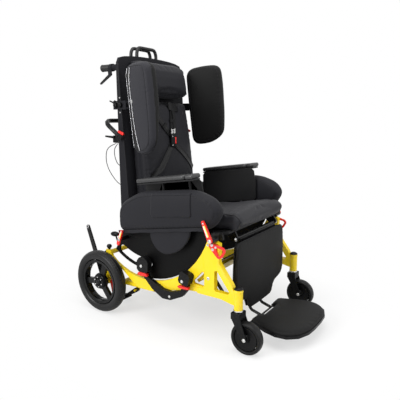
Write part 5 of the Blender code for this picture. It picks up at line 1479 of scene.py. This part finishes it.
def harness_collar():
    """Padded collar over the upper straps, with a stitched rim."""
    slot = SLOT_OF["harness"]
    outline = even(rounded([(-0.004, 1.014), (0.000, 1.052), (0.016, 1.056), (0.076, 1.038),
                            (0.074, 1.006),
                            (0.010, 1.010)], 0.006, 4), 90, True)
    points, faces = rings_solid(pad_rings(outline, 0.0050, 0.0035, 0.001, edge=5, top=7))

    def place(points):
        base = back_front(points[..., 0], points[..., 1])
        return at_axle(np.stack([points[..., 0], base - 0.0075 - points[..., 2], points[..., 1]], -1))

    collar = new_object("harness_collar", (place(points), faces), "back", "web", slot, smooth=60.0,
                        soften=1)
    rim = even(outline * 0.86 + outline.mean(0) * 0.14, 90, True)
    stitched("harness_collar_stitches", collar, place(np.column_stack([rim, np.full(90, 0.0050)])),
             "back", slot)


def buckle_tongues():
    """Steel tongues of the two upper straps, set in the top of the buckle."""
    middle = at_axle([-0.012, back_front(-0.012, 0.862), 0.862])
    tongues = []
    for x, up, lean, wide in ((-0.014, 0.040, 24.0, 0.0070), (0.010, 0.041, -20.0, 0.0075)):
        way = np.array([np.sin(np.radians(lean)), 0.0, np.cos(np.radians(lean))])
        side_way = np.cross(way, [0.0, 1.0, 0.0])
        base = middle + np.array([x, -0.0130, up - 0.006])
        outline = [base + way * a + side_way * b for a, b in
                   ((0.0, -wide * 0.8), (0.0, wide * 0.8), (0.010, wide), (0.017, wide * 1.7),
                    (0.022, wide * 1.7), (0.022, -wide * 1.7), (0.017, -wide * 1.7), (0.010, -wide))]
        tongues.append(slab(outline, 0.0022, (0.0, 1.0, 0.0)))
    new_object("buckle_tongues", together(tongues), "back", "zinc", SLOT_OF["buckle"], edge=0.0005)


def middle_of(node):
    """Middle of a solid's box."""
    low, high = (np.array(corner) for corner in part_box(node))
    return (low + high) / 2


def buckle_case():
    """Moulded case of the buckle with the button's window cut through it, and its screws."""
    slot = SLOT_OF["buckle"]
    case = even(rounded([(-0.0225, -0.034), (0.0225, -0.036), (0.0235, 0.028), (0.0120, 0.036),
                         (-0.0120, 0.036), (-0.0235, 0.028)], 0.007, 5), 120, True)
    points, faces = rings_solid(pad_rings(case, 0.0080, 0.0042, 0.0016, edge=7, top=9))
    centre = middle_of("buckle")
    spot = centre + np.stack([points[:, 0], -points[:, 2], points[:, 1]], -1)
    piece = new_object("buckle_case", (spot, faces), "back", "moulded_black", slot, smooth=60.0)
    wide, tall = 0.0070, 0.0195
    hole = rounded([(-wide, -tall), (wide, -tall), (wide, tall), (-wide, tall)], 0.002, 3)
    hole = middle_of("buckle_button") + np.column_stack([hole[:, 0], np.zeros(len(hole)), hole[:, 1]])
    cutter = new_object("buckle_window", slab(hole, 0.030, (0.0, 1.0, 0.0)), "back", "moulded_black",
                        slot)
    cut = piece.modifiers.new("window", "BOOLEAN")
    cut.operation = "DIFFERENCE"
    cut.solver = "EXACT"
    cut.object = cutter
    bpy.context.view_layer.update()
    apply_all(piece)
    bpy.data.objects.remove(cutter)
    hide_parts("buckle")
    screws = [bolt_head(centre + np.array([-0.0150, -0.0090, z]), (0.0, -1.0, 0.0), 0.0022, 0.0014)
              for z in (-0.024, 0.020)]
    new_object("buckle_screws", together(screws), "back", "zinc", slot)


def harness_slides(cover):
    """Two slides on the straps."""
    slides = []
    for x, z, turn in ((-0.060, 0.938, 40.0), (0.004, 0.962, -8.0)):
        a = np.radians(turn)
        along = np.array([-np.sin(a), 0.0, np.cos(a)])
        over = np.array([np.cos(a), 0.0, np.sin(a)])
        spot = settle(cover, [at_axle([x, back_front(x, z) - 0.02, z])], 0.0075)[0]
        bar = [spot + along * u + over * v for u,
               v in ((-0.007, -0.018), (0.007, -0.018), (0.007, 0.018),
                                                        (-0.007, 0.018))]
        slides.append(slab(bar, 0.0032, (0.0, 1.0, 0.0)))
    new_object("harness_slides", together(slides), "back", "moulded_black", SLOT_OF["buckle"],
               edge=0.0009)


def make_harness():
    """Straps, collar, tongues, buckle and slides, in that order."""
    cover = bpy.data.objects["back_cover"]
    harness_straps(cover)
    harness_collar()
    buckle_tongues()
    buckle_case()
    harness_slides(cover)


def make_arm_pads():
    """Moulded arm pads: crowned body and a separate front cap with a joint line between."""
    for side, tag in SIDES:
        pieces = []
        for name, near, far in (("pad", 0.1655, 0.4500), ("cap", 0.1230, 0.1645)):
            corners = [(0.2392, near), (0.3088, near), (0.3088, far), (0.2392, far)]
            outline = rounded(corners, 0.018, 6) if name == "pad" else rounded(
                [(0.2420, near), (0.3060, near), (0.3088, near + 0.014), (0.3088, far), (0.2392, far),
                 (0.2392, near + 0.014)], 0.008, 4)
            outline = even(outline, 120, True)
            rings = pad_rings(outline, 0.0104, 0.0078, 0.0012, edge=8, top=9)
            points, faces = rings_solid(rings)
            points = np.stack([side * points[:, 0], points[:, 1], points[:, 2] + 0.2570 - 0.0110], -1)
            pieces.append((on_seat(points), faces))
        body = BODY_OF["arm_pad_" + tag]
        piece = new_object("arm_cover_" + tag, pieces[0], body, "arm_rubber", SLOT_OF["arm_pad_" + tag],
                           smooth=180.0, soften=1)
        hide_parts("arm_pad_" + tag)
        cap = new_object("arm_cap_" + tag, pieces[1], body, "arm_rubber", SLOT_OF["arm_pad_" + tag],
                         smooth=180.0, soften=1)
        bolts = [bolt_head(on_seat([side * 0.2740, y, 0.2340]), (0.0, 0.0, -1.0), 0.0045, 0.0025)
                 for y in (0.184, 0.336)]
        new_object("arm_screws_" + tag, together(bolts), body, "zinc", "steel")


# Wheels
def tyre_skin(centre, inner, outer, width, grooves, depth, steps):
    """Tyre turned about X: a round section whose tread is cut by ribs round it and grooves across.

    Radius = section(t) - depth where either cosine, round the wheel or across the tread, is low.
    """
    t = np.linspace(0, 2 * np.pi, 64, endpoint=False)
    half = width / 2
    middle = (inner + outer) / 2
    tall = (outer - inner) / 2
    across = half * np.sign(np.sin(t)) * np.abs(np.sin(t)) ** 0.86
    radius = middle + tall * np.sign(np.cos(t)) * np.abs(np.cos(t)) ** 0.80
    tread = np.clip((radius - (outer - tall * 0.34)) / (tall * 0.20), 0, 1)
    turn = np.linspace(0, 2 * np.pi, steps, endpoint=False)
    rib = (np.abs(across) > half * 0.30) & (np.abs(across) < half * 0.42)
    cut = np.zeros((steps, 64))
    if grooves:
        shifted = turn[:, None] * grooves + np.abs(across)[None] / half * 1.6
        cross = (np.cos(shifted) < -0.62) & (np.abs(across)[None] > half * 0.36)
        cut = np.where(cross | rib[None], 1.0, 0.0)
    wall = 0.0009 * np.exp(-((np.abs(across) - half * 0.93) / 0.0016) ** 2)
    r = radius[None] - depth * cut * tread[None]
    x = across + np.sign(across) * wall * (radius > middle)
    points = np.stack([np.broadcast_to(x[None], r.shape), r * np.cos(turn)[:, None],
                       r * np.sin(turn)[:, None]], -1) + np.asarray(centre, float)
    return points.reshape(-1, 3), lattice(steps, 64, True, True).tolist()


def make_rear_tyres():
    """Rear tyres with a shallow block tread."""
    for side, tag in SIDES:
        centre = at_axle([side * 0.3290, 0.0, AXLE_Z])
        skin = tyre_skin(centre, 0.1120, 0.1590, 0.0540, 64, 0.0014, 512)
        piece = new_object("tyre_" + tag, skin, BODY_OF["rear_tyre_" + tag], "tyre_rubber",
                           SLOT_OF["rear_tyre_" + tag], smooth=32.0)
        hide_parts("rear_tyre_" + tag)


def make_wheel_fittings():
    """Hub covers, rings of bolts, rim beads and valves of the rear wheels."""
    for side, tag in SIDES:
        body = BODY_OF["rear_wheel_" + tag]
        hub = at_axle([side * 0.3510, 0.0, AXLE_Z])
        out = np.array([side, 0.0, 0.0])
        angles = np.radians(np.arange(6) * 60.0 + 22.0)
        bolts = [bolt_head(hub + np.array([0.0, 0.0245 * np.cos(a), 0.0245 * np.sin(a)]), out, 0.0028,
                           0.0026)
                 for a in angles]
        new_object("hub_bolts_" + tag, together(bolts), body, "zinc", "steel")
        cover = [(0.0, 0.0052), (0.0060, 0.0050), (0.0110, 0.0040), (0.0140, 0.0018), (0.0150, 0.0),
                 (0.0330, 0.0), (0.0345, -0.0008), (0.0350, -0.0030), (0.0, -0.0030)]
        new_object("hub_cover_" + tag, turned(cover, hub, out, 60), body, "rim_black", "black_rim",
                   edge=0.0003)
        rim = turned([(0.1105, 0.0190), (0.1110, 0.0210), (0.1130, 0.0214), (0.1140, 0.0196),
                      (0.1105, 0.0190)],
                     at_axle([side * 0.3290, 0.0, AXLE_Z]), out, 96)
        new_object("rim_bead_" + tag, rim, body, "rim_black", "black_rim")
        a = np.radians(52.0)
        foot = at_axle([side * 0.3360, 0.1005 * np.cos(a), AXLE_Z + 0.1005 * np.sin(a)])
        way = np.array([side * 0.35, -np.cos(a), -np.sin(a)])
        valve = [(0.0, 0.020), (0.0022, 0.020), (0.0024, 0.012), (0.0030, 0.0115), (0.0032, -0.010),
                 (0.0, -0.010)]
        new_object("valve_" + tag, turned(valve, foot, way, 14), body, "moulded_black", "black_rim")


def make_casters():
    """Caster tyres, their axle bolts, stem caps and the caps of the rear posts."""
    for side, tag in SIDES:
        wheel = BODY_OF["caster_tyre_" + tag]
        centre = at_axle([side * 0.2905, -0.8220, 0.0710])
        skin = tyre_skin(centre, 0.0523, 0.0710, 0.0390, 0, 0.0, 144)
        piece = new_object("caster_skin_" + tag, skin, wheel, "caster_rubber",
                           SLOT_OF["caster_tyre_" + tag],
                           smooth=50.0)
        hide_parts("caster_tyre_" + tag)
        fork = BODY_OF["caster_fork_" + tag]
        low, high = (np.array(corner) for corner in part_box("caster_fork_" + tag))
        bolts = []
        for way, x in ((-1.0, low[0]), (1.0, high[0])):
            bolts.append(bolt_head([x, centre[1], centre[2]], (way, 0.0, 0.0), 0.0062, 0.0040))
        new_object("caster_bolts_" + tag, together(bolts), fork, "zinc", "steel")
        top = at_axle([side * STEM_X, STEM_Y, high[2]])
        cap = [(0.0, 0.0040), (0.0075, 0.0040), (0.0080, 0.0030), (0.0120, 0.0022), (0.0165, -0.0006),
               (0.0200, -0.0052), (0.0203, -0.0062), (0.0, -0.0062)]
        new_object("stem_cap_" + tag, turned(cap, top, (0, 0, 1), 40), fork, "moulded_black",
                   "black_plastic",
                   edge=0.0003)
        post = at_axle([side * 0.2720, 0.0050, 0.2970])
        dome = [(0.0, 0.0100), (0.0070, 0.0100), (0.0075, 0.0088), (0.0115, 0.0072), (0.0150, 0.0030),
                (0.0168, -0.0020), (0.0168, -0.0120), (0.0154, -0.0125), (0.0, -0.0125)]
        new_object("post_cap_" + tag, turned(dome, post, (0, 0, 1), 40), "base", "moulded_black",
                   "black_plastic", edge=0.0003)
        ring = [(0.0194, 0.0), (0.0206, 0.0008), (0.0206, 0.0056), (0.0194, 0.0062), (0.0194, 0.0)]
        seat = at_axle([side * STEM_X, STEM_Y, 0.1798])
        new_object("head_ring_" + tag, turned(ring, seat, (0, 0, 1), 48), "base", "zinc", "steel")


# Fittings of the frame
def on_side(side, x, place):
    """Point at a side distance, from (distance behind the axle, height)."""
    return at_axle([side * x, place[0], place[1]])


FRAME_BOLTS = ((0.3380, -0.5210, 0.2690, 0.0055, 0.0036), (0.3325, -0.2780, 0.2915, 0.0055, 0.0036),
               (0.3180, -0.4340, 0.1710, 0.0050, 0.0034), (0.3030, -0.6370, 0.2970, 0.0058, 0.0034),
               (0.3110, -0.6600, 0.4500, 0.0052, 0.0032), (0.3110, -0.6640, 0.4320, 0.0052, 0.0032),
               (0.3110, -0.6400, 0.4470, 0.0046, 0.0030), (0.3110, -0.6790, 0.4430, 0.0040, 0.0030))
RED_CAMS = ([(-0.553, 0.2330), (-0.549, 0.2430), (-0.4950, 0.2440), (-0.4900, 0.2360),
             (-0.5000, 0.2300)],
            [(-0.3130, 0.2440), (-0.3080, 0.2580), (-0.2920, 0.2600), (-0.2620, 0.2600),
             (-0.2520, 0.2520), (-0.2560, 0.2430)])


def make_frame_fittings():
    """Bolts of the side frames, red cams, knobs and small levers."""
    for side, tag in SIDES:
        bolts = [bolt_head(on_side(side, x, (y, z)), (side, 0.0, 0.0), radius, height)
                 for x, y, z, radius, height in FRAME_BOLTS]
        new_object("frame_bolts_" + tag, together(bolts), "base", "zinc", "steel")
        lug = bolt_head(on_side(side, 0.2020, (-0.7125, 0.4580)), (0.0, -0.97, 0.26), 0.0065, 0.0045)
        new_object("leg_lug_bolt_" + tag, lug, "seat", "zinc", "steel")
        cams = [slab(across_x(even(rounded(outline, 0.005, 4), 48, True), side * 0.3240), 0.0150,
                     (1.0, 0.0, 0.0)) for outline in RED_CAMS]
        new_object("red_cams_" + tag, together(cams), "base", "red_paint", "red_paint", edge=0.0010)
        arm = link((-0.036, 0.150), 0.0110, (-0.052, 0.0980), 0.0150)
        new_object("brake_arm_" + tag, slab(across_x(arm, side * STEM_X), 0.0080, (1.0, 0.0, 0.0)),
                   "base",
                   "red_paint", "red_paint", edge=0.0010)
        weld = [(HEAD_R + r, h) for r, h in ((0.0, -0.0040), (0.0016, -0.0012), (0.0016, 0.0012),
                                             (0.0, 0.0040), (0.0, -0.0040))]
        bead = turned(weld, at_axle([side * STEM_X, STEM_Y, 0.2662]), (0, 0, 1), 56)
        new_object("head_lip_" + tag, bead, "base", "yellow_paint", "yellow_frame")
    lever = link((-0.6480, 0.2940), 0.0075, (-0.7150, 0.2120), 0.0060)
    new_object("small_lever", slab(across_x(lever, -0.2740), 0.0070, (1.0, 0.0, 0.0)), "base",
               "black_paint",
               "black_metal", edge=0.0009)
    knob = [(0.0, 0.0110), (0.0080, 0.0105), (0.0120, 0.0070), (0.0132, 0.0), (0.0110, -0.0060),
            (0.0060, -0.0100), (0.0058, -0.0160), (0.0, -0.0160)]
    new_object("clamp_knob", turned(knob, at_axle([-0.2920, -0.0300, 0.3370]), (0, 0, 1), 32), "base",
               "moulded_black", "black_plastic")
    stem = smooth_line([at_axle(p) for p in ((-0.210, -0.0250, 0.3140), (-0.210, -0.0080, 0.3400),
                                             (-0.210, 0.0040, 0.3680))], 16)
    new_object("knob_stem", swept(stem, circle(0.0042, 14)), "base", "black_paint", "black_metal")
    t = np.linspace(0.02, np.pi - 0.02, 18)
    oval = np.column_stack([0.0135 * np.sin(t), 0.0290 * np.cos(t)])
    new_object("oval_knob", turned(oval, at_axle([-0.2100, 0.0110, 0.3770]), (0.0, 1.0, -0.08), 32),
               "base",
               "moulded_black", "black_plastic")
    red = [(0.0, 0.0085), (0.0052, 0.0080), (0.0078, 0.0040), (0.0078, -0.0060), (0.0, -0.0060)]
    new_object("small_red_knob", turned(red, at_axle([-0.2500, -0.1180, 0.3917]), (-1.0, 0.0, 0.0), 24),
               "seat", "red_paint", "red_paint")
    eye = [(0.0052, 0.0050), (0.0066, 0.0056), (0.0080, 0.0050), (0.0080, -0.0050), (0.0066, -0.0056),
           (0.0052, -0.0050), (0.0052, 0.0050)]
    new_object("parking_bush", turned(eye, at_axle([-0.2631, 0.1537, 0.4080]), (1, 0, 0), 32),
               BODY_OF["parking_lever"], "ground_steel", "steel")
    bush = bolt_head(at_axle([-0.2676, 0.0620, 0.1600]), (-1, 0, 0), 0.0070, 0.0040)
    new_object("parking_bolt", bush, "base", "zinc", "steel")


LEVERS = (("front", (LEVER_BOSS, (-0.6330, 0.5500)), 0.3407, LEVER_BOSS, 0.0068, (0.22, 0.82), 0.0052,
           0.93),
          ("rear", ((-0.1410, 0.3800), (-0.1670, 0.4440)), 0.3425, (-0.1500, 0.4020), 0.0060,
           (0.48, 0.92),
           0.0044, 0.985))


def make_lever_fittings():
    """Bare label strips, bolts and pivot screws of the four lock levers."""
    for side, tag in SIDES:
        out = (side, 0.0, 0.0)
        for name, ends, x, pivot, hub, (near, far), wide, tip in LEVERS:
            body = BODY_OF["lock_lever_" + name + "_" + tag]
            a, b = np.array(ends)
            way = unit(b - a)
            over = np.array([-way[1], way[0]]) * wide
            length = np.linalg.norm(b - a)
            start, end = a + way * length * near, a + way * length * far
            for finish, low, high in (("label_white", -1.0, 0.05), ("label_yellow", 0.05, 1.0)):
                corners = [start + over * low, end + over * low, end + over * high, start + over * high]
                strip = slab(across_x(rounded(corners, 0.0015, 3), side * (x + 0.0003)), 0.0008,
                             (1.0, 0.0, 0.0))
                new_object("lever_" + finish + "_" + name + "_" + tag, strip, body, finish, "red_paint",
                           edge=0.0001)
            screws = [bolt_head(on_side(side, x + 0.0004, pivot), out, hub, 0.0042),
                      bolt_head(on_side(side, x, a + way * length * tip), out, 0.0030, 0.0022)]
            new_object("lever_screws_" + name + "_" + tag, together(screws), body, "zinc", "steel")


def finned(centre, axis, radius, tall):
    """Fluted knob: radius times 1 + 0.09 cos(9 x angle), rounded over at its top."""
    profile = np.array([(0.55, tall), (0.80, tall * 0.96), (0.94, tall * 0.84), (1.0, tall * 0.6),
                        (1.0, tall * 0.16), (0.92, 0.0), (0.55, -0.0006)])
    axis, a, ring = ring_about(axis, 108)
    r = profile[:, 0, None] * radius * (1 + 0.09 * np.cos(9 * a) * (profile[:, 0, None] > 0.7))
    rings = np.asarray(centre, float) + r[..., None] * ring[None] + profile[:, 1, None, None] * axis
    return rings_solid(rings)


def make_grips_and_clamps():
    """Grip sleeves, clamp levers of the wings, red cams of the push bar and screws."""
    for side, tag in SIDES:
        out = np.array([side, 0.0, 0.0])
        length = np.linspace(-0.0115, 0.0395, 54)
        ribs = 0.0160 + 0.0006 * np.cos((length + 0.0115) * 2 * np.pi / 0.0052)
        profile = [(0.0, -0.0118), (0.0150, -0.0118), *zip(ribs, length), (0.0174, 0.0400),
                   (0.0174, 0.0428), (0.0156, 0.0446), (0.0, 0.0450)]
        new_object("grip_sleeve_" + tag,
                   turned(profile, at_axle([side * 0.2150, 0.0, 1.2150]), (0, 1, 0), 48),
                   "back", "grip_rubber", "back_shell_dark", smooth=60.0)
        up = WING_POST[2] + 0.0270 * np.cos(np.radians(BACK_LEAN))
        y = WING_POST[1] + 0.0270 * np.sin(np.radians(BACK_LEAN))
        levers = []
        for shift in (0.044, 0.074):
            base = at_axle([side * 0.2552, y + shift, up])
            levers.append(finned(base, out, 0.0115, 0.0130))
            handle = [base + np.array([side * a, b, c]) for a, b, c in
                      ((0.0080, 0.002, 0.004), (0.0110, 0.014, 0.014), (0.0110, 0.030, 0.020))]
            levers.append(swept(smooth_line(handle, 14), circle(0.0034, 12)))
        new_object("clamp_levers_" + tag, together(levers), "back", "moulded_black", "back_shell_dark",
                   smooth=50.0)
        cam = link((-0.1300, 0.9010), 0.0066, (-0.1060, 0.9110), 0.0052)
        new_object("push_cam_" + tag, slab(across_x(cam, side * 0.2700), 0.0080, (1.0, 0.0, 0.0)),
                   BODY_OF["push_bar"], "red_paint", "red_paint", edge=0.0012)
        screws = [bolt_head(at_axle([side * 0.2453, y + 0.060, up + dz]), out, 0.0030, 0.0020)
                  for dz in (-0.034, 0.034)]
        new_object("side_screws_" + tag, together(screws), "back", "zinc", "back_shell_dark")


def make_bow_sleeves():
    """Soft sleeves on the two grab bows over the back."""
    for index, place in enumerate((-0.056, -0.016)):
        half = [(x, place, z) for x,
                z in ((0.0752, 1.246), (0.0742, 1.280), (0.0720, 1.302), (0.0620, 1.319),
                                           (0.0480, 1.3235), (0.0200, 1.3240))]
        path = smooth_line([at_axle(p) for p in [(-a, b, c) for a, b, c in half] + half[::-1]], 90)
        new_object("bow_sleeve_" + "ab"[index], swept(path, circle(0.0086, 16), (0, 1, 0)), "back",
                   "grip_rubber", "back_shell_dark", smooth=180.0)


CABLE_ROUTES = {
    "cable_long": [(-0.0380, 0.8557), (-0.0380, 0.8500), (-0.0020, 0.8380), (0.0280, 0.8150),
                   (0.0360, 0.7700),
                   (0.0250, 0.7280), (-0.0020, 0.6900), (-0.0380, 0.6570), (-0.0700, 0.6430),
                   (-0.0777, 0.6430)],
    "cable_short": [(-0.0500, 0.8557), (-0.0500, 0.8500), (-0.0280, 0.8250), (-0.0260, 0.7900),
                    (-0.0420, 0.7540), (-0.0700, 0.7380), (-0.0777, 0.7380)]}


def make_brake_box():
    """Brake box on the back's side and the two cables from it into the back."""
    box = rounded([(-0.0838, 0.8552), (-0.0838, 0.8908), (-0.0292, 0.8908), (-0.0292, 0.8552)], 0.006, 4)
    new_object("brake_box", slab(across_x(box, CABLE_X), 0.0240, (1.0, 0.0, 0.0)), "back",
               "moulded_black",
               "back_shell_dark", edge=0.0012)
    tips = [bolt_head(at_axle([-0.2371, -0.0720, z]), (-1, 0, 0), 0.0026,
                      0.0016) for z in (0.862, 0.884)]
    new_object("brake_box_screws", together(tips), "back", "zinc", "steel")
    ferrule = [(0.0, 0.010), (0.0023, 0.010), (0.0030, 0.008), (0.0034, -0.0004), (0.0, -0.0004)]
    for name, knots in CABLE_ROUTES.items():
        path = across_x(smooth_line(knots, 120), CABLE_X)
        for _ in range(16):
            path[2:-2] = (path[1:-3] + 2 * path[2:-2] + path[3:-1]) / 4
        piece = new_object(name + "_sheath", swept(path, circle(0.0019, 12), (1, 0, 0)), "back",
                           "cable_black",
                           SLOT_OF[name], smooth=180.0)
        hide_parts(name)
        ends = [turned(ferrule, path[0], path[6] - path[0], 18),
                turned(ferrule, path[-1], path[-6] - path[-1], 18)]
        tips = new_object(name + "_ferrules", together(ends), "back", "zinc", SLOT_OF[name], smooth=40.0)


def make_panel_piping():
    """Piping down the front and rear edges of the back panel."""
    z = np.linspace(0.462, 1.228, 80)
    for way, tag in SIDES:
        for name, x, y, radius in (("panel_piping_", 0.2452, panel_face(z) + 0.0022, 0.0024),
                                   ("panel_rear_piping_", 0.2440, np.full(80, -0.0788), 0.0020)):
            edge = at_axle(np.column_stack([np.full(80, way * x), y, z]))
            new_object(name + tag, swept(edge, circle(radius, 10), (0, 1, 0)), "back", "piping",
                       "back_shell_dark", smooth=180.0)


def make_back_fittings():
    """Grip sleeves, grab bow sleeves, clamp levers, red cams, brake box and cables."""
    make_grips_and_clamps()
    make_bow_sleeves()
    make_brake_box()
    make_panel_piping()


def make_wing_clips():
    """Small bright clips on the outer faces of the wings, by their zips."""
    for side, tag in SIDES:
        cover = bpy.data.objects["wing_cover_" + tag]
        line = rounded([(0.046, 0.032), (0.068, 0.032), (0.068, 0.048), (0.046, 0.048)], 0.003, 3)
        place = wing_set(side, np.column_stack([line[:, 0], np.full(len(line), side * 0.040),
                                                line[:, 1]]))
        normal = normals_at(cover, [place.mean(0)])[0]
        new_object("wing_clip_" + tag, slab(settle(cover, place, 0.0012), 0.0022, normal), "wing_" + tag,
                   "zinc", "steel", edge=0.0006)


# Operators
class WHEELCHAIR_OT_finishes(bpy.types.Operator):
    """Make every paint, metal, rubber and cloth finish."""
    bl_idname = "wheelchair.finishes"
    bl_label = "Finishes"

    def execute(self, context):
        make_finishes(context.scene.wheelchair_looks)
        return {"FINISHED"}


class WHEELCHAIR_OT_rigid(bpy.types.Operator):
    """Dress the rigid solids with small edge rounds and their finishes."""
    bl_idname = "wheelchair.rigid"
    bl_label = "Frame and fittings from the solids"

    def execute(self, context):
        dress_rigid()
        return {"FINISHED"}


class WHEELCHAIR_OT_seat(bpy.types.Operator):
    """Stuff the seat cushion and sew its edges."""
    bl_idname = "wheelchair.seat"
    bl_label = "Seat cushion"

    def execute(self, context):
        make_seat()
        return {"FINISHED"}


class WHEELCHAIR_OT_sides(bpy.types.Operator):
    """Stuff the side cushions and sew on their pockets and flaps."""
    bl_idname = "wheelchair.sides"
    bl_label = "Side cushions"

    def execute(self, context):
        make_sides()
        return {"FINISHED"}


class WHEELCHAIR_OT_back(bpy.types.Operator):
    """Stuff the back cushion and sew its edges."""
    bl_idname = "wheelchair.back"
    bl_label = "Back cushion"

    def execute(self, context):
        make_back()
        return {"FINISHED"}


class WHEELCHAIR_OT_head(bpy.types.Operator):
    """Stuff the head pad."""
    bl_idname = "wheelchair.head"
    bl_label = "Head pad"

    def execute(self, context):
        make_head()
        return {"FINISHED"}


class WHEELCHAIR_OT_wings(bpy.types.Operator):
    """Stuff the wing cushions, with their zips and clips."""
    bl_idname = "wheelchair.wings"
    bl_label = "Wing cushions"

    def execute(self, context):
        make_wings()
        make_wing_clips()
        return {"FINISHED"}


class WHEELCHAIR_OT_legrest(bpy.types.Operator):
    """Stuff the calf pad and the footplate cover."""
    bl_idname = "wheelchair.legrest"
    bl_label = "Calf pad and footplate cover"

    def execute(self, context):
        make_calf()
        make_foot()
        return {"FINISHED"}


class WHEELCHAIR_OT_harness(bpy.types.Operator):
    """Lay the harness straps and their collar on the back cushion."""
    bl_idname = "wheelchair.harness"
    bl_label = "Harness"

    def execute(self, context):
        make_harness()
        return {"FINISHED"}


class WHEELCHAIR_OT_arms(bpy.types.Operator):
    """Mould the arm pads and their caps."""
    bl_idname = "wheelchair.arms"
    bl_label = "Arm pads"

    def execute(self, context):
        make_arm_pads()
        return {"FINISHED"}


class WHEELCHAIR_OT_tyres(bpy.types.Operator):
    """Mould the rear tyres with their tread."""
    bl_idname = "wheelchair.tyres"
    bl_label = "Rear tyres"

    def execute(self, context):
        make_rear_tyres()
        return {"FINISHED"}


class WHEELCHAIR_OT_wheel_fittings(bpy.types.Operator):
    """Fit the hub covers, bolts, rim beads and valves."""
    bl_idname = "wheelchair.wheel_fittings"
    bl_label = "Wheel fittings"

    def execute(self, context):
        make_wheel_fittings()
        return {"FINISHED"}


class WHEELCHAIR_OT_casters(bpy.types.Operator):
    """Mould the caster tyres and fit their bolts and caps."""
    bl_idname = "wheelchair.casters"
    bl_label = "Casters"

    def execute(self, context):
        make_casters()
        return {"FINISHED"}


class WHEELCHAIR_OT_frame_fittings(bpy.types.Operator):
    """Fit the bolts, red cams, knobs and small levers of the frame."""
    bl_idname = "wheelchair.frame_fittings"
    bl_label = "Frame fittings"

    def execute(self, context):
        make_frame_fittings()
        return {"FINISHED"}


class WHEELCHAIR_OT_lever_fittings(bpy.types.Operator):
    """Fit the label strips and screws of the lock levers."""
    bl_idname = "wheelchair.lever_fittings"
    bl_label = "Lock lever fittings"

    def execute(self, context):
        make_lever_fittings()
        return {"FINISHED"}


class WHEELCHAIR_OT_back_fittings(bpy.types.Operator):
    """Fit the grips, bows, clamps, brake box and cables of the back."""
    bl_idname = "wheelchair.back_fittings"
    bl_label = "Back fittings"

    def execute(self, context):
        make_back_fittings()
        return {"FINISHED"}


class WHEELCHAIR_OT_stage(bpy.types.Operator):
    """Set the camera, the lamps, the sky and the floor."""
    bl_idname = "wheelchair.stage"
    bl_label = "Stage"

    def execute(self, context):
        make_stage(context.scene.wheelchair_looks)
        return {"FINISHED"}


STEPS = (WHEELCHAIR_OT_finishes, WHEELCHAIR_OT_rigid, WHEELCHAIR_OT_seat, WHEELCHAIR_OT_sides,
         WHEELCHAIR_OT_back, WHEELCHAIR_OT_head, WHEELCHAIR_OT_wings, WHEELCHAIR_OT_legrest,
         WHEELCHAIR_OT_harness, WHEELCHAIR_OT_arms, WHEELCHAIR_OT_tyres, WHEELCHAIR_OT_wheel_fittings,
         WHEELCHAIR_OT_casters, WHEELCHAIR_OT_frame_fittings, WHEELCHAIR_OT_lever_fittings,
         WHEELCHAIR_OT_back_fittings, WHEELCHAIR_OT_stage)


class WHEELCHAIR_PT_looks(bpy.types.Panel):
    """Settings and steps of the wheelchair's looks."""
    bl_idname = "WHEELCHAIR_PT_looks"
    bl_label = "Wheelchair looks"
    bl_space_type = "VIEW_3D"
    bl_region_type = "UI"
    bl_category = "Wheelchair"

    def draw(self, context):
        looks = context.scene.wheelchair_looks
        for name in WHEELCHAIR_Settings.__annotations__:
            self.layout.prop(looks, name)
        for step in STEPS:
            self.layout.operator(step.bl_idname)


CLASSES = (WHEELCHAIR_Settings, *STEPS, WHEELCHAIR_PT_looks)


def register():
    """Add the classes and the scene's settings."""
    for each in CLASSES:
        bpy.utils.register_class(each)
    bpy.types.Scene.wheelchair_looks = bpy.props.PointerProperty(type=WHEELCHAIR_Settings)


def unregister():
    """Remove the settings and the classes."""
    del bpy.types.Scene.wheelchair_looks
    for each in reversed(CLASSES):
        bpy.utils.unregister_class(each)


def main():
    """Run every step in order."""
    register()
    bpy.ops.wheelchair.finishes()
    bpy.ops.wheelchair.rigid()
    bpy.ops.wheelchair.seat()
    bpy.ops.wheelchair.sides()
    bpy.ops.wheelchair.back()
    bpy.ops.wheelchair.head()
    bpy.ops.wheelchair.wings()
    bpy.ops.wheelchair.legrest()
    bpy.ops.wheelchair.harness()
    bpy.ops.wheelchair.arms()
    bpy.ops.wheelchair.tyres()
    bpy.ops.wheelchair.wheel_fittings()
    bpy.ops.wheelchair.casters()
    bpy.ops.wheelchair.frame_fittings()
    bpy.ops.wheelchair.lever_fittings()
    bpy.ops.wheelchair.back_fittings()
    bpy.ops.wheelchair.stage()
    bpy.context.view_layer.update()


if __name__ == "__main__":
    main()
